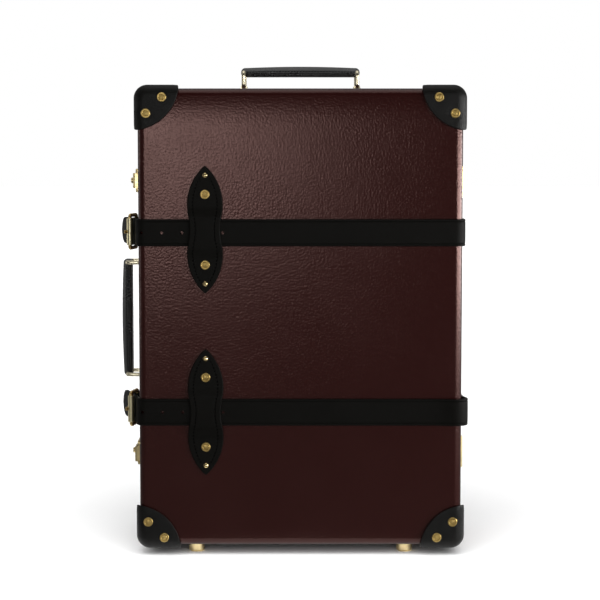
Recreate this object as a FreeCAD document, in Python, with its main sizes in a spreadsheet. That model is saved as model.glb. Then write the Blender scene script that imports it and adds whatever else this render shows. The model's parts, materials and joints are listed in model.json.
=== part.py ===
import FreeCAD, Part
import math
import os
import re
import Sketcher
from FreeCAD import Placement, Rotation, Vector

# Driving dimensions in millimetres. An inset is measured in from a side or the back, a back distance from the
# front face, an out distance from the face that a piece sits on, and a drop down from the middle.
SIZES = {
    # case
    "case_width": 360,
    "case_height": 510,
    "case_depth": 186,
    "lid_depth": 65,
    "fibre_wall": 1.8,
    "corner_round": 11,
    "edge_round": 8,
    "seam_gap": 0.6,
    # wooden frames and linings
    "frame_wall": 6,
    "frame_depth": 20,
    "lip_reach": 6,
    "lip_gap": 0.8,
    "lid_frame_depth": 12,
    "lid_frame_gap": 1.5,
    "lining_wall": 1.2,
    "handle_space": 27,
    # leather corners and their rivets
    "cap_wall": 3.7,
    "cap_gap": 0.1,
    "cap_reach": 46,
    "cap_offset": 7.5,
    "cap_rivet_near": 9.8,
    "cap_rivet_far": 27.5,
    "rivet_radius": 5.2,
    "rivet_rise": 1.5,
    "rivet_rim": 0.5,
    "rivet_ring_out": 4.6,
    "rivet_ring_in": 3.5,
    "rivet_ring_rise": 1.2,
    "rivet_groove": 3,
    "rivet_groove_rise": 0.75,
    "rivet_dome": 2.6,
    "rivet_dome_rise": 1.1,
    "rivet_shank": 1.8,
    # belts and keepers
    "belt_width": 30,
    "belt_wall": 3,
    "belt_gap": 0.2,
    "belt_joint": 0.3,
    "belt_spread": 200,
    "hardware_drop": 4,
    "belt_rivet_inset": 70,
    "belt_hole": 1.75,
    "belt_hole_inset": 4,
    "belt_hole_pitch": 22.5,
    "keeper_length": 142,
    "keeper_width": 39.5,
    "keeper_waist": 33.5,
    "keeper_bulge": 27.5,
    "keeper_wall": 2.6,
    "keeper_inset": 74.5,
    "keeper_play": 0.3,
    "keeper_ramp": 9,
    "keeper_tip": 2,
    "keeper_rivet": 39,
    "keeper_nail": 60,
    "upper_keeper_shift": 3.4,
    "nail_radius": 2.9,
    "nail_rise": 1.6,
    "nail_shank": 0.9,
    # roller buckles
    "roller_back": 26,
    "roller_out": 11,
    "heel_back": 52,
    "heel_out": 6.2,
    "buckle_wire": 2.1,
    "buckle_bend": 3,
    "buckle_side_gap": 1.2,
    "roller_play": 0.3,
    "roller_wall": 1.3,
    "roller_end_gap": 0.4,
    "tongue_play": 0.3,
    "tongue_ring": 1.7,
    "tongue_ring_width": 5,
    "tongue_width": 3.4,
    "tongue_thick": 2.8,
    "tongue_knee": 21,
    "tongue_tip": 5,
    "tongue_tip_thick": 1.5,
    "fold_play": 0.4,
    "fold_wall": 2.4,
    "fold_length": 24,
    "fold_slope": 19,
    "tail_gap": 0.35,
    "tail_length": 77,
    "tail_point": 15,
    "tongue_slot": 14,
    "tongue_slot_play": 0.6,
    "tongue_slot_ahead": 7,
    "tongue_notch": 11,
    # carry handles
    "handle_ahead": 54,
    "handle_span": 130.5,
    "side_handle_drop": 4,
    "side_handle_clear": 34.75,
    "loop_wire": 2.3,
    "loop_half": 21.5,
    "loop_bend": 4,
    "loop_rise": 17.2,
    "pivot_rise": 4,
    "pivot_play": 0.08,
    "ear_gap": 0.8,
    "ear_wall": 3.5,
    "ear_radius": 3.6,
    "plate_wall": 1.2,
    "plate_width": 18,
    "plate_margin": 3,
    "grip_width": 25,
    "grip_thick": 12.5,
    "grip_end_width": 22,
    "grip_end_thick": 9.6,
    "grip_bow": 2.4,
    "grip_overhang": 5,
    "grip_round": 4,
    "grip_swell": 0.72,
    # locks
    "lock_spread": 313,
    "lock_height": 27,
    "lock_depth": 25,
    "lock_rise": 8,
    "lock_round": 3,
    "lock_edge": 1.2,
    "lock_seam": 0.8,
    "lock_plate": 0.8,
    "lock_plate_height": 46,
    "knob_radius": 3.3,
    "knob_neck": 1.7,
    "knob_rise": 6.5,
    "knob_flare": 1.3,
    "knob_rim": 4.5,
    "knob_shoulder": 5.6,
    "knob_crown": 2.3,
    "knob_depth": 3,
    "knob_seam": 18.5,
    "knob_travel": 5,
    "knob_play": 0.3,
    "hasp_width": 17,
    "hasp_wall": 1.5,
    "hasp_gap": 0.35,
    "hasp_cover": 12,
    "hasp_pivot_seam": 9,
    "hasp_pivot_out": 4.4,
    "hasp_barrel": 2.4,
    "hasp_pin": 1.2,
    "hasp_pin_play": 0.06,
    "hasp_ear": 3,
    "hasp_plate_reach": 21,
    "staple_width": 6,
    "staple_depth": 4,
    "staple_reach": 3,
    "staple_gap": 0.5,
    # hinges
    "hinge_spread": 310,
    "hinge_length": 36,
    "hinge_out": 3.6,
    "hinge_barrel": 3.2,
    "hinge_pin": 1.3,
    "hinge_play": 0.08,
    "knuckle_gap": 0.3,
    "leaf_wall": 1.2,
    "leaf_reach": 18,
    "leaf_clear": 0.5,
    # front feet
    "foot_height": 12,
    "foot_inset": 62,
    "foot_back": 30,
    "foot_radius": 8.9,
    "foot_waist": 7.6,
    "foot_sole": 7.2,
    "foot_flare": 2,
    "foot_belly": 10,
    "foot_neck": 11,
    # telescopic handle
    "tube_spread": 120,
    "tube_inset": 19,
    "tube_width": 18,
    "tube_depth": 9,
    "tube_wall": 0.9,
    "tube_play": 0.3,
    "tube_step": 4,
    "tube_foot": 8,
    "tube_socket": 5,
    "socket_wall": 3,
    "cup_wall": 1.6,
    "cup_floor": 2,
    "cup_deep": 13,
    "cup_flange": 1.4,
    "cup_flange_width": 1.5,
    "pull_length": 150,
    "pull_width": 14,
    "pull_play": 0.4,
    "pull_lift": 0.5,
    "pull_proud": 2.2,
    "pull_round": 4,
    "button_length": 26,
    "button_width": 7,
    "button_rise": 3,
    "button_travel": 3,
    "button_play": 0.3,
    "button_deep": 5,
    "button_edge": 1.4,
    # wheels
    "wheel_inset": 74,
    "wheel_radius": 22,
    "wheel_width": 18,
    "wheel_proud": 4,
    "wheel_gap": 3,
    "wheel_side_gap": 2,
    "well_wall": 3,
    "well_side": 4,
    "well_flange": 1.8,
    "well_flange_width": 3,
    "tyre_wall": 6,
    "tyre_round": 3,
    "hub_inset": 1,
    "web_wall": 5,
    "hub_rim": 2.2,
    "hub_boss": 1.6,
    "bearing_radius": 6,
    "bearing_width": 5,
    "axle_radius": 3,
    "axle_play": 0.05,
    "spoke_hole": 1.9,
}

# Places that several pieces share, written as expressions of the sizes.
SIDE = "(case_width / 2)"
FRONT = "(-case_depth / 2)"
BACK = "(case_depth / 2)"
SEAM = "(lid_depth - case_depth / 2)"
TOP = "(foot_height + case_height)"
MIDDLE = "(foot_height + case_height / 2)"
HARDWARE = f"({MIDDLE} - hardware_drop)"
PAST = "5"

doc = FreeCAD.newDocument("carry_on_suitcase")
sheet = doc.addObject("Spreadsheet::Sheet", "sizes")
for row, (alias, value) in enumerate(SIZES.items(), 1):
    sheet.set(f"A{row}", alias)
    sheet.set(f"B{row}", str(value))
    sheet.setAlias(f"B{row}", alias)
doc.recompute()

pieces = {}


def cells(text):
    """The expression with every size name pointed at its cell in the sheet."""
    return re.sub(r"[a-z_]+", lambda word: "sizes." + word[0] if word[0] in SIZES else word[0], str(text))


def number(text):
    """The value of an expression, in millimetres or degrees."""
    found = sheet.evalExpression(cells(text))
    return float(getattr(found, "Value", found))


def bind(item, **sizes):
    """Tie properties of an object to expressions of the sheet's cells."""
    for name, text in sizes.items():
        item.setExpression(name, cells(text))
    return item


def place(item, x="0", y="0", z="0", turn=None):
    """Put an object at a place given by expressions, after an optional fixed turn."""
    if turn is not None:
        item.Placement = Placement(Vector(), turn)
    for axis, text in zip("xyz", (x, y, z)):
        item.setExpression(f"Placement.Base.{axis}", cells(text))
    return item


TO_FRONT = Rotation(Vector(1, 0, 0), 90)
TO_BACK = Rotation(Vector(1, 0, 0), -90)
TO_LEFT = Rotation(Vector(0, 1, 0), -90)
TO_RIGHT = Rotation(Vector(0, 1, 0), 90)
UPRIGHT = Rotation()
ABOUT_Z = Rotation(Vector(0, 0, 1), 1)


def box(name, x, y, z):
    """A box between two expressions along each axis."""
    item = doc.addObject("Part::Box", name)
    for size, (low, high) in zip(("Length", "Width", "Height"), (x, y, z)):
        item.setExpression(size, cells(f"{high} - ({low})"))
    return place(item, x[0], y[0], z[0])


def rod(name, radius, length, x="0", y="0", z="0", turn=UPRIGHT):
    """A cylinder that starts at a place and runs along Z, or where the turn takes it."""
    item = bind(doc.addObject("Part::Cylinder", name), Radius=radius, Height=length)
    return place(item, x, y, z, turn)


def join(name, *items):
    """One solid from several that touch or overlap."""
    item = doc.addObject("Part::MultiFuse", name)
    item.Shapes = list(items)
    return item


def together(name, *items):
    """Several solids kept apart in one object."""
    item = doc.addObject("Part::Compound", name)
    item.Links = list(items)
    return item


def shared(name, first, second):
    """What two solids have in common."""
    item = doc.addObject("Part::Common", name)
    item.Base = first
    item.Tool = second
    return item


def cut(name, item, *tools):
    """A solid with one or more others taken away."""
    for count, tool in enumerate(tools, 1):
        result = doc.addObject("Part::Cut", name if count == len(tools) else f"{name}_cut_{count}")
        result.Base = item
        result.Tool = tool
        item = result
    return item


def copy(form, name, x="0", y="0", z="0", turn=UPRIGHT):
    """The same form again at another place."""
    link = doc.addObject("App::Link", name)
    link.LinkedObject = form
    return place(link, x, y, z, turn)


def copies(name, form, spots):
    """A form repeated at several places and kept as separate solids."""
    links = [copy(form, f"{name}_{count}", *spot) for count, spot in enumerate(spots, 1)]
    return together(name + "_set", *links)


def origin_plane(body, role):
    return next(plane for plane in body.Origin.OriginFeatures if plane.Role == role)


def sketch(body, name, plane, corners, closed=True, lift=None):
    """A constrained outline. A corner is (across, up) or (across, up, radius), where the edge that leaves it
    is an arc of that radius, turning left if positive and right if negative."""
    flat = body.newObject("Sketcher::SketchObject", name)
    flat.AttachmentSupport = [(origin_plane(body, plane), "")]
    flat.MapMode = "FlatFace"
    if lift:
        flat.setExpression("AttachmentOffset.Base.z", cells(lift))
    spots = [Vector(number(corner[0]), number(corner[1]), 0) for corner in corners]
    starts = []
    ends = []
    for count in range(len(corners) if closed else len(corners) - 1):
        here = spots[count]
        there = spots[(count + 1) % len(spots)]
        if len(corners[count]) == 2:
            flat.addGeometry(Part.LineSegment(here, there))
            starts.append((count, 1))
            ends.append((count, 2))
            continue
        radius = number(corners[count][2])
        half = (there - here) * 0.5
        left = Vector(-half.y, half.x, 0).normalize()
        rise = math.sqrt(max(radius ** 2 - half.Length ** 2, 0))
        centre = here + half + left * math.copysign(rise, radius)
        first, last = (here, there) if radius > 0 else (there, here)
        sweep = [math.atan2(spot.y - centre.y, spot.x - centre.x) for spot in (first, last)]
        flat.addGeometry(Part.ArcOfCircle(Part.Circle(centre, Vector(0, 0, 1), abs(radius)), *sweep))
        starts.append((count, 1 if radius > 0 else 2))
        ends.append((count, 2 if radius > 0 else 1))
        rule = flat.addConstraint(Sketcher.Constraint("Radius", count, abs(radius)))
        flat.setExpression(f"Constraints[{rule}]", cells(f"abs({corners[count][2]})"))
    for count, end in enumerate(ends):
        if count + 1 < len(starts) or closed:
            flat.addConstraint(Sketcher.Constraint("Coincident", *end, *starts[(count + 1) % len(starts)]))
    for corner, spot, vertex in zip(corners, spots, starts if closed else starts + ends[-1:]):
        for kind, text, value in (("DistanceX", corner[0], spot.x), ("DistanceY", corner[1], spot.y)):
            rule = flat.addConstraint(Sketcher.Constraint(kind, -1, 1, *vertex, value))
            flat.setExpression(f"Constraints[{rule}]", cells(text))
    return flat


def ring(body, name, plane, radius, lift=None, across="0", up="0"):
    """A circle sketched on an origin plane, or lifted off it."""
    flat = body.newObject("Sketcher::SketchObject", name)
    flat.AttachmentSupport = [(origin_plane(body, plane), "")]
    flat.MapMode = "FlatFace"
    if lift:
        flat.setExpression("AttachmentOffset.Base.z", cells(lift))
    centre = Vector(number(across), number(up), 0)
    flat.addGeometry(Part.Circle(centre, Vector(0, 0, 1), number(radius)))
    rules = (("Radius", (0,), radius), ("DistanceX", (-1, 1, 0, 3), across), ("DistanceY", (-1, 1, 0, 3), up))
    for kind, where, text in rules:
        rule = flat.addConstraint(Sketcher.Constraint(kind, *where, number(text)))
        flat.setExpression(f"Constraints[{rule}]", cells(text))
    return flat


def pad(body, name, profile, length, reverse=False, middle=False):
    """The profile drawn out along its normal, from its plane or to both sides of it."""
    feature = body.newObject("PartDesign::Pad", name)
    feature.Profile = profile
    feature.Reversed = reverse
    feature.Midplane = middle
    bind(feature, Length=length)
    doc.recompute()
    return feature


def pocket_through(body, name, profile):
    """The profile cut through the whole body, both ways."""
    before = body.Tip.Shape.Volume
    feature = body.newObject("PartDesign::Pocket", name)
    feature.Profile = profile
    feature.Type = 1
    feature.Midplane = True
    doc.recompute()
    if feature.Shape.Volume >= before:
        raise RuntimeError(f"{name} cuts nothing")
    return feature


def edges_where(feature, test):
    """Names of the edges that pass a test."""
    return [f"Edge{count}" for count, edge in enumerate(feature.Shape.Edges, 1) if test(edge)]


def along(axis):
    """A test for straight edges along an axis."""
    return lambda edge: edge.Curve.TypeId == "Part::GeomLine" and abs(edge.Curve.Direction[axis]) > 0.999


def level(axis, height):
    """A test for edges that lie at one height along an axis."""
    return lambda edge: all(abs(point[axis] - height) < 1e-4 for point in edge.discretize(3))


def rounded(body, name, feature, test, radius):
    """A fillet on the edges that pass a test."""
    fillet = body.newObject("PartDesign::Fillet", name)
    fillet.Base = (feature, edges_where(feature, test))
    bind(fillet, Radius=radius)
    doc.recompute()
    return fillet


def new_body(name):
    return doc.addObject("PartDesign::Body", name)


def turned(name, corners):
    """A solid of revolution about Z, from a profile of (radius, height)."""
    body = new_body(name)
    feature = body.newObject("PartDesign::Revolution", name + "_turn")
    feature.Profile = sketch(body, name + "_profile", "XZ_Plane", corners)
    feature.ReferenceAxis = (feature.Profile[0], ["V_Axis"])
    feature.Angle = 360
    return body


def bent_rod(name, corners, radius, closed, plane, lift=None):
    """A round rod along a path of lines and arcs in the YZ plane."""
    body = new_body(name)
    path = sketch(body, name + "_path", "YZ_Plane", corners, closed)
    feature = body.newObject("PartDesign::AdditivePipe", name + "_pipe")
    feature.Profile = ring(body, name + "_section", plane, radius, lift)
    edges = len(corners) if closed else len(corners) - 1
    feature.Spine = (path, [f"Edge{count}" for count in range(1, edges + 1)])
    return body


def rectangle(half_across, half_up):
    """Corners of a rectangle about the origin."""
    return [(f"{sign_x} * {half_across}", f"{sign_y} * {half_up}")
            for sign_x, sign_y in ((-1, -1), (1, -1), (1, 1), (-1, 1))]


def case_block(name, grow, near, far, ends):
    """The case's outline grown by an amount, from one depth to another, with its face edges rounded."""
    body = new_body(name)
    corners = rectangle(f"(case_width / 2 + {grow})", f"(case_height / 2 + {grow})")
    outline = sketch(body, name + "_outline", "XZ_Plane", corners)
    feature = pad(body, name + "_pad", outline, f"{far} - ({near})", reverse=True)
    feature = rounded(body, name + "_corners", feature, along(1), f"max(corner_round + {grow}; 0.5)")
    for end in ends:
        depth = 0 if end == "near" else number(f"{far} - ({near})")
        feature = rounded(body, f"{name}_{end}", feature, level(1, depth), f"max(edge_round + {grow}; 0.5)")
    return place(body, y=near, z=MIDDLE)


def whole_block(name, grow):
    """The closed case grown by an amount on every side."""
    return case_block(name, grow, f"{FRONT} - ({grow})", f"{BACK} + {grow}", ("near", "far"))


# The case's middle stands to the right of the part's middle, because the side handle reaches further out than
# the hinges.
HANDLE_REACH = "(pivot_rise + loop_rise + grip_bow + grip_thick / 2)"
CENTRE = f"({HANDLE_REACH} - hinge_out - hinge_barrel) / 2"


def piece(label, item):
    """Name a finished sub-part and move it into the part's frame."""
    item.Label = label
    item.setExpression("Placement.Base.x", cells(CENTRE))
    pieces[label] = item


# Shells: two trays of fibre board that meet at the seam.
LID_MOUTH = f"({SEAM} - seam_gap / 2)"
BASE_MOUTH = f"({SEAM} + seam_gap / 2)"
WHEEL_ACROSS = f"({SIDE} - wheel_inset)"
WHEEL_BACK = f"({BACK} + wheel_proud - wheel_radius)"
WELL_RADIUS = "(wheel_radius + wheel_gap + well_wall)"
WELL_WIDTH = "(wheel_width + 2 * wheel_side_gap + 2 * well_side)"
TUBE_BACK = f"({BACK} - tube_inset)"
CUP_HALF_LENGTH = "(pull_length / 2 + pull_play + cup_wall)"
CUP_HALF_WIDTH = "(pull_width / 2 + pull_play + cup_wall)"
WHEEL_SIDES = {"left": "-1", "right": "1"}


def well(name, sign, grow="0"):
    """A drum about a wheel's axle that fills the well, or more."""
    half = f"({WELL_WIDTH} / 2 + {grow})"
    return rod(name, f"{WELL_RADIUS} + {grow}", f"2 * {half}",
               f"{sign} * {WHEEL_ACROSS} - {half}", WHEEL_BACK, "wheel_radius", TO_RIGHT)


def cup_slot(name, low):
    """The opening in the top for the pull handle's cup."""
    return box(name, (f"-{CUP_HALF_LENGTH}", CUP_HALF_LENGTH),
               (f"{TUBE_BACK} - {CUP_HALF_WIDTH}", f"{TUBE_BACK} + {CUP_HALF_WIDTH}"),
               (low, f"{TOP} + {PAST}"))


base_outer = case_block("base_outer", "0", BASE_MOUTH, BACK, ["far"])
base_inner = case_block("base_inner", "-fibre_wall", f"{BASE_MOUTH} - {PAST}", f"{BACK} - fibre_wall",
                        ["far"])
base_wells = [well(f"base_well_{side}", sign) for side, sign in WHEEL_SIDES.items()]
base_slot = cup_slot("base_slot", f"{TOP} - {PAST}")
piece("base_shell", cut("base_shell", base_outer, base_inner, *base_wells, base_slot))

lid_outer = case_block("lid_outer", "0", FRONT, LID_MOUTH, ["near"])
lid_inner = case_block("lid_inner", "-fibre_wall", f"{FRONT} + fibre_wall", f"{LID_MOUTH} + {PAST}", ["near"])
piece("lid_shell", cut("lid_shell", lid_outer, lid_inner))

# Wooden frames: a lip on the base guides the lid, and a band stiffens the lid behind it.
base_band = case_block("base_band", "-fibre_wall", BASE_MOUTH, f"{BASE_MOUTH} + frame_depth", [])
base_lip = case_block("base_lip", "-fibre_wall - lip_gap", f"{SEAM} - lip_reach", f"{SEAM} + {PAST}", [])
frame_inside = case_block("frame_inside", "-fibre_wall - frame_wall", FRONT, BACK, [])
piece("base_frame", cut("base_frame", join("base_frame_solid", base_band, base_lip), frame_inside))

LID_FRAME_BACK = f"({SEAM} - lip_reach - lid_frame_gap)"
lid_band = case_block("lid_band", "-fibre_wall", f"{LID_FRAME_BACK} - lid_frame_depth", LID_FRAME_BACK, [])
lid_frame_inside = case_block("lid_frame_inside", "-fibre_wall - frame_wall", FRONT, BACK, [])
piece("lid_frame", cut("lid_frame", lid_band, lid_frame_inside))

# Linings: cloth-covered walls, and a false back in the base that leaves room for the pull handle's tubes.
PANEL_BACK = f"({BACK} - fibre_wall - handle_space)"
PANEL_FRONT = f"({PANEL_BACK} - lining_wall)"
LINING_FRONT = f"({BASE_MOUTH} + frame_depth)"
lining_wells = [well(f"lining_well_{side}", sign, "tube_play") for side, sign in WHEEL_SIDES.items()]
lining_block = case_block("lining_block", "-fibre_wall", LINING_FRONT, PANEL_FRONT, [])
lining_room = case_block("lining_room", "-fibre_wall - lining_wall", f"{LINING_FRONT} - {PAST}", BACK, [])
piece("base_lining", cut("base_lining", lining_block, lining_room, *lining_wells))
panel_block = case_block("panel_block", "-fibre_wall", PANEL_FRONT, PANEL_BACK, [])
piece("base_false_back", cut("base_false_back", panel_block, *lining_wells))

LID_LINING_BACK = f"({LID_FRAME_BACK} - lid_frame_depth)"
lid_tray = case_block("lid_tray", "-fibre_wall", f"{FRONT} + fibre_wall", LID_LINING_BACK, ["near"])
lid_tray_inside = case_block("lid_tray_inside", "-fibre_wall - lining_wall",
                             f"{FRONT} + fibre_wall + lining_wall", f"{LID_LINING_BACK} + {PAST}", ["near"])
piece("lid_lining", cut("lid_lining", lid_tray, lid_tray_inside))


# Rivets and nails: turned heads with a short shank through the leather.
def rivet(name, grip):
    """A flat rivet with a raised ring round a shallow dome. Its shank is as long as the leather is thick."""
    corners = [("0", f"-({grip})"), ("rivet_shank", f"-({grip})"), ("rivet_shank", "0"),
               ("rivet_radius", "0"), ("rivet_radius", "rivet_rim"), ("rivet_ring_out", "rivet_ring_rise"),
               ("rivet_ring_in", "rivet_ring_rise"), ("rivet_groove", "rivet_groove_rise"),
               ("rivet_dome", "rivet_dome_rise"), ("0", "rivet_rise")]
    return turned(name, corners)


nail_form = turned("nail_form", [
    ("0", "-keeper_wall"), ("nail_shank", "-keeper_wall"), ("nail_shank", "0"),
    ("nail_radius", "0", "(nail_radius^2 + nail_rise^2) / (2 * nail_rise)"), ("0", "nail_rise")])
cap_rivet_form = rivet("cap_rivet_form", "cap_wall")
keeper_rivet_form = rivet("keeper_rivet_form", "keeper_wall")
belt_rivet_form = rivet("belt_rivet_form", "belt_wall")

# Corner caps: a leather skin over the closed case, cut to a round outline by a ball about each corner.
cap_outer = whole_block("cap_outer", "(cap_gap + cap_wall)")
cap_inner = whole_block("cap_inner", "cap_gap")
cap_skin = cut("cap_skin", cap_outer, cap_inner)
CAP_BALL = "sqrt((cap_reach + cap_offset)^2 + 2 * cap_offset^2)"
CORNERS = [(sign_x, sign_z) for sign_x in (-1, 1) for sign_z in (-1, 1)]


def corner_caps(half, face, sign, turn):
    """The four caps of one half, with holes for their rivets, and where the rivets go."""
    caps = []
    spots = []
    holes = []
    seat = f"{face} + {sign} * (cap_gap + cap_wall)"
    for count, (sign_x, sign_z) in enumerate(CORNERS, 1):
        ball = bind(doc.addObject("Part::Sphere", f"{half}_ball_{count}"), Radius=CAP_BALL)
        place(ball, f"{sign_x} * ({SIDE} + cap_offset)", f"{face} + {sign} * cap_offset",
              f"{MIDDLE} + {sign_z} * (case_height / 2 + cap_offset)")
        caps.append(shared(f"{half}_cap_{count}", cap_skin, ball))
        for inset_x, inset_z in (("cap_rivet_near", "cap_rivet_far"), ("cap_rivet_far", "cap_rivet_near")):
            x = f"{sign_x} * ({SIDE} - {inset_x})"
            z = f"{MIDDLE} + {sign_z} * (case_height / 2 - {inset_z})"
            spots.append((x, seat, z, turn))
            holes.append(rod(f"{half}_hole_{len(spots)}", "rivet_shank", f"2 * {PAST} + cap_wall", x,
                             f"{seat} + {sign} * {PAST}", z, TO_BACK if sign < 0 else TO_FRONT))
    leather = together(f"{half}_leather", *caps)
    return cut(f"{half}_corner_caps", leather, together(f"{half}_holes", *holes)), spots


lid_caps, lid_spots = corner_caps("lid", FRONT, -1, TO_FRONT)
base_caps, base_spots = corner_caps("base", BACK, 1, TO_BACK)
piece("lid_corner_caps", lid_caps)
piece("base_corner_caps", base_caps)

# Belts: a band that hugs the closed case at two heights, parted at the seam and at the buckle.
BELTS = {"upper": f"({HARDWARE} + belt_spread / 2)", "lower": f"({HARDWARE} - belt_spread / 2)"}
KEEPERS = {"upper": f"({BELTS['upper']} + upper_keeper_shift)", "lower": BELTS["lower"]}
belt_outer = whole_block("belt_outer", "(belt_gap + belt_wall)")
belt_inner = whole_block("belt_inner", "belt_gap")
belt_skin = cut("belt_skin", belt_outer, belt_inner)

# The tail is the tangent that passes inside the roller and outside the fold round the heel bar.
ROLLER_RADIUS = "(buckle_wire + roller_play + roller_wall)"
FOLD_INSIDE = "(buckle_wire + fold_play)"
FOLD_RADIUS = f"({FOLD_INSIDE} + fold_wall)"
BUCKLE_DROP = "(heel_back - roller_back)"
BUCKLE_RISE = "(roller_out - heel_out)"
BUCKLE_LENGTH = f"sqrt({BUCKLE_DROP}^2 + {BUCKLE_RISE}^2)"
BUCKLE_ANGLE = f"atan({BUCKLE_RISE} / {BUCKLE_DROP})"
TAIL_UNDER = f"({ROLLER_RADIUS} + tail_gap + belt_wall / 2)"
TAIL_OVER = f"({FOLD_RADIUS} + tail_gap + belt_wall / 2)"
TAIL_ANGLE = f"(asin(({TAIL_UNDER} + {TAIL_OVER}) / {BUCKLE_LENGTH}) - {BUCKLE_ANGLE})"
TAIL_AT_ROLLER = f"(roller_out - {TAIL_UNDER} * cos({TAIL_ANGLE}) - belt_gap - belt_wall / 2)"
TAIL_FROM = f"(roller_back + {TAIL_UNDER} * sin({TAIL_ANGLE}) - {TAIL_AT_ROLLER} / tan({TAIL_ANGLE}))"
BELT_END = f"({TAIL_FROM} - belt_wall / 2 * sin({TAIL_ANGLE}) - belt_joint)"
HEEL_X = f"(-{SIDE} - heel_out)"
HEEL_Y = f"({FRONT} + heel_back)"
FAR = "case_width"

tongue_form = new_body("tongue_form")
eye = ring(tongue_form, "tongue_eye", "XY_Plane", "buckle_wire + tongue_play + tongue_ring")
pad(tongue_form, "tongue_ring", eye, "tongue_ring_width", middle=True)
TONGUE_LOW = "(buckle_wire + tongue_play)"
TONGUE_TOP = f"({ROLLER_RADIUS} + tongue_play)"
tongue_bar = sketch(tongue_form, "tongue_bar", "XY_Plane", [
    (f"-{TONGUE_LOW}", "0"), (f"-{TONGUE_LOW} - tongue_ring", "0"),
    (f"-{TONGUE_TOP} - tongue_thick", "-tongue_knee"),
    (f"-{TONGUE_TOP} - tongue_thick", f"-{BUCKLE_LENGTH}"),
    (f"-{TONGUE_TOP} - tongue_tip_thick", f"-{BUCKLE_LENGTH} - tongue_tip"),
    (f"-{TONGUE_TOP}", f"-{BUCKLE_LENGTH} - tongue_tip"),
    (f"-{TONGUE_TOP}", "-tongue_knee")])
pad(tongue_form, "tongue_blade", tongue_bar, "tongue_width", middle=True)
bar_hole = ring(tongue_form, "tongue_bore", "XY_Plane", "buckle_wire + tongue_play")
pocket_through(tongue_form, "tongue_bore_cut", bar_hole)


def belt_slab(name, height, x, y):
    """A box as tall as the belt."""
    return box(name, x, y, (f"{height} - belt_width / 2", f"{height} + belt_width / 2"))


# The belt's end folds back over the heel bar and lies on the belt behind it.
flap_form = new_body("flap_form")
flap_side = sketch(flap_form, "flap_side", "XY_Plane", [
    (f"-{FOLD_RADIUS}", "0"), (f"-{FOLD_INSIDE}", "0"), ("heel_out - belt_gap - belt_wall", "fold_slope"),
    ("heel_out - belt_gap - belt_wall", "fold_length + fold_wall"),
    ("heel_out - belt_gap - belt_wall - fold_wall", "fold_length")])
pad(flap_form, "flap_pad", flap_side, "belt_width", middle=True)

# The tail: a flat strip with a rounded point and a slot for the tongue.
TONGUE_AT = (f"((heel_back - {TAIL_OVER} * sin({TAIL_ANGLE}) - {TAIL_FROM}) / cos({TAIL_ANGLE})"
             f" - tongue_slot_ahead)")
TAIL_ROUND = "(tail_point^2 + belt_width^2 / 4) / belt_width"
tail_form = new_body("tail_form")
tail_outline = sketch(tail_form, "tail_outline", "YZ_Plane", [
    ("0", "-belt_width / 2"), ("tail_length - tail_point", "-belt_width / 2", TAIL_ROUND),
    ("tail_length", "0", TAIL_ROUND), ("tail_length - tail_point", "belt_width / 2"),
    ("0", "belt_width / 2")])
pad(tail_form, "tail_pad", tail_outline, "belt_wall", middle=True)
SLOT_HALF = "(tongue_width / 2 + tongue_slot_play)"
tail_slot = sketch(tail_form, "tail_slot", "YZ_Plane", [
    (f"{TONGUE_AT} - tongue_slot / 2", f"-{SLOT_HALF}"), (f"{TONGUE_AT} + tongue_slot / 2", f"-{SLOT_HALF}"),
    (f"{TONGUE_AT} + tongue_slot / 2", SLOT_HALF), (f"{TONGUE_AT} - tongue_slot / 2", SLOT_HALF)])
pocket_through(tail_form, "tail_slot_cut", tail_slot)
tail_hole = ring(tail_form, "tail_hole", "YZ_Plane", "belt_hole", across=f"{TONGUE_AT} + belt_hole_pitch")
pocket_through(tail_form, "tail_hole_cut", tail_hole)

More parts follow.
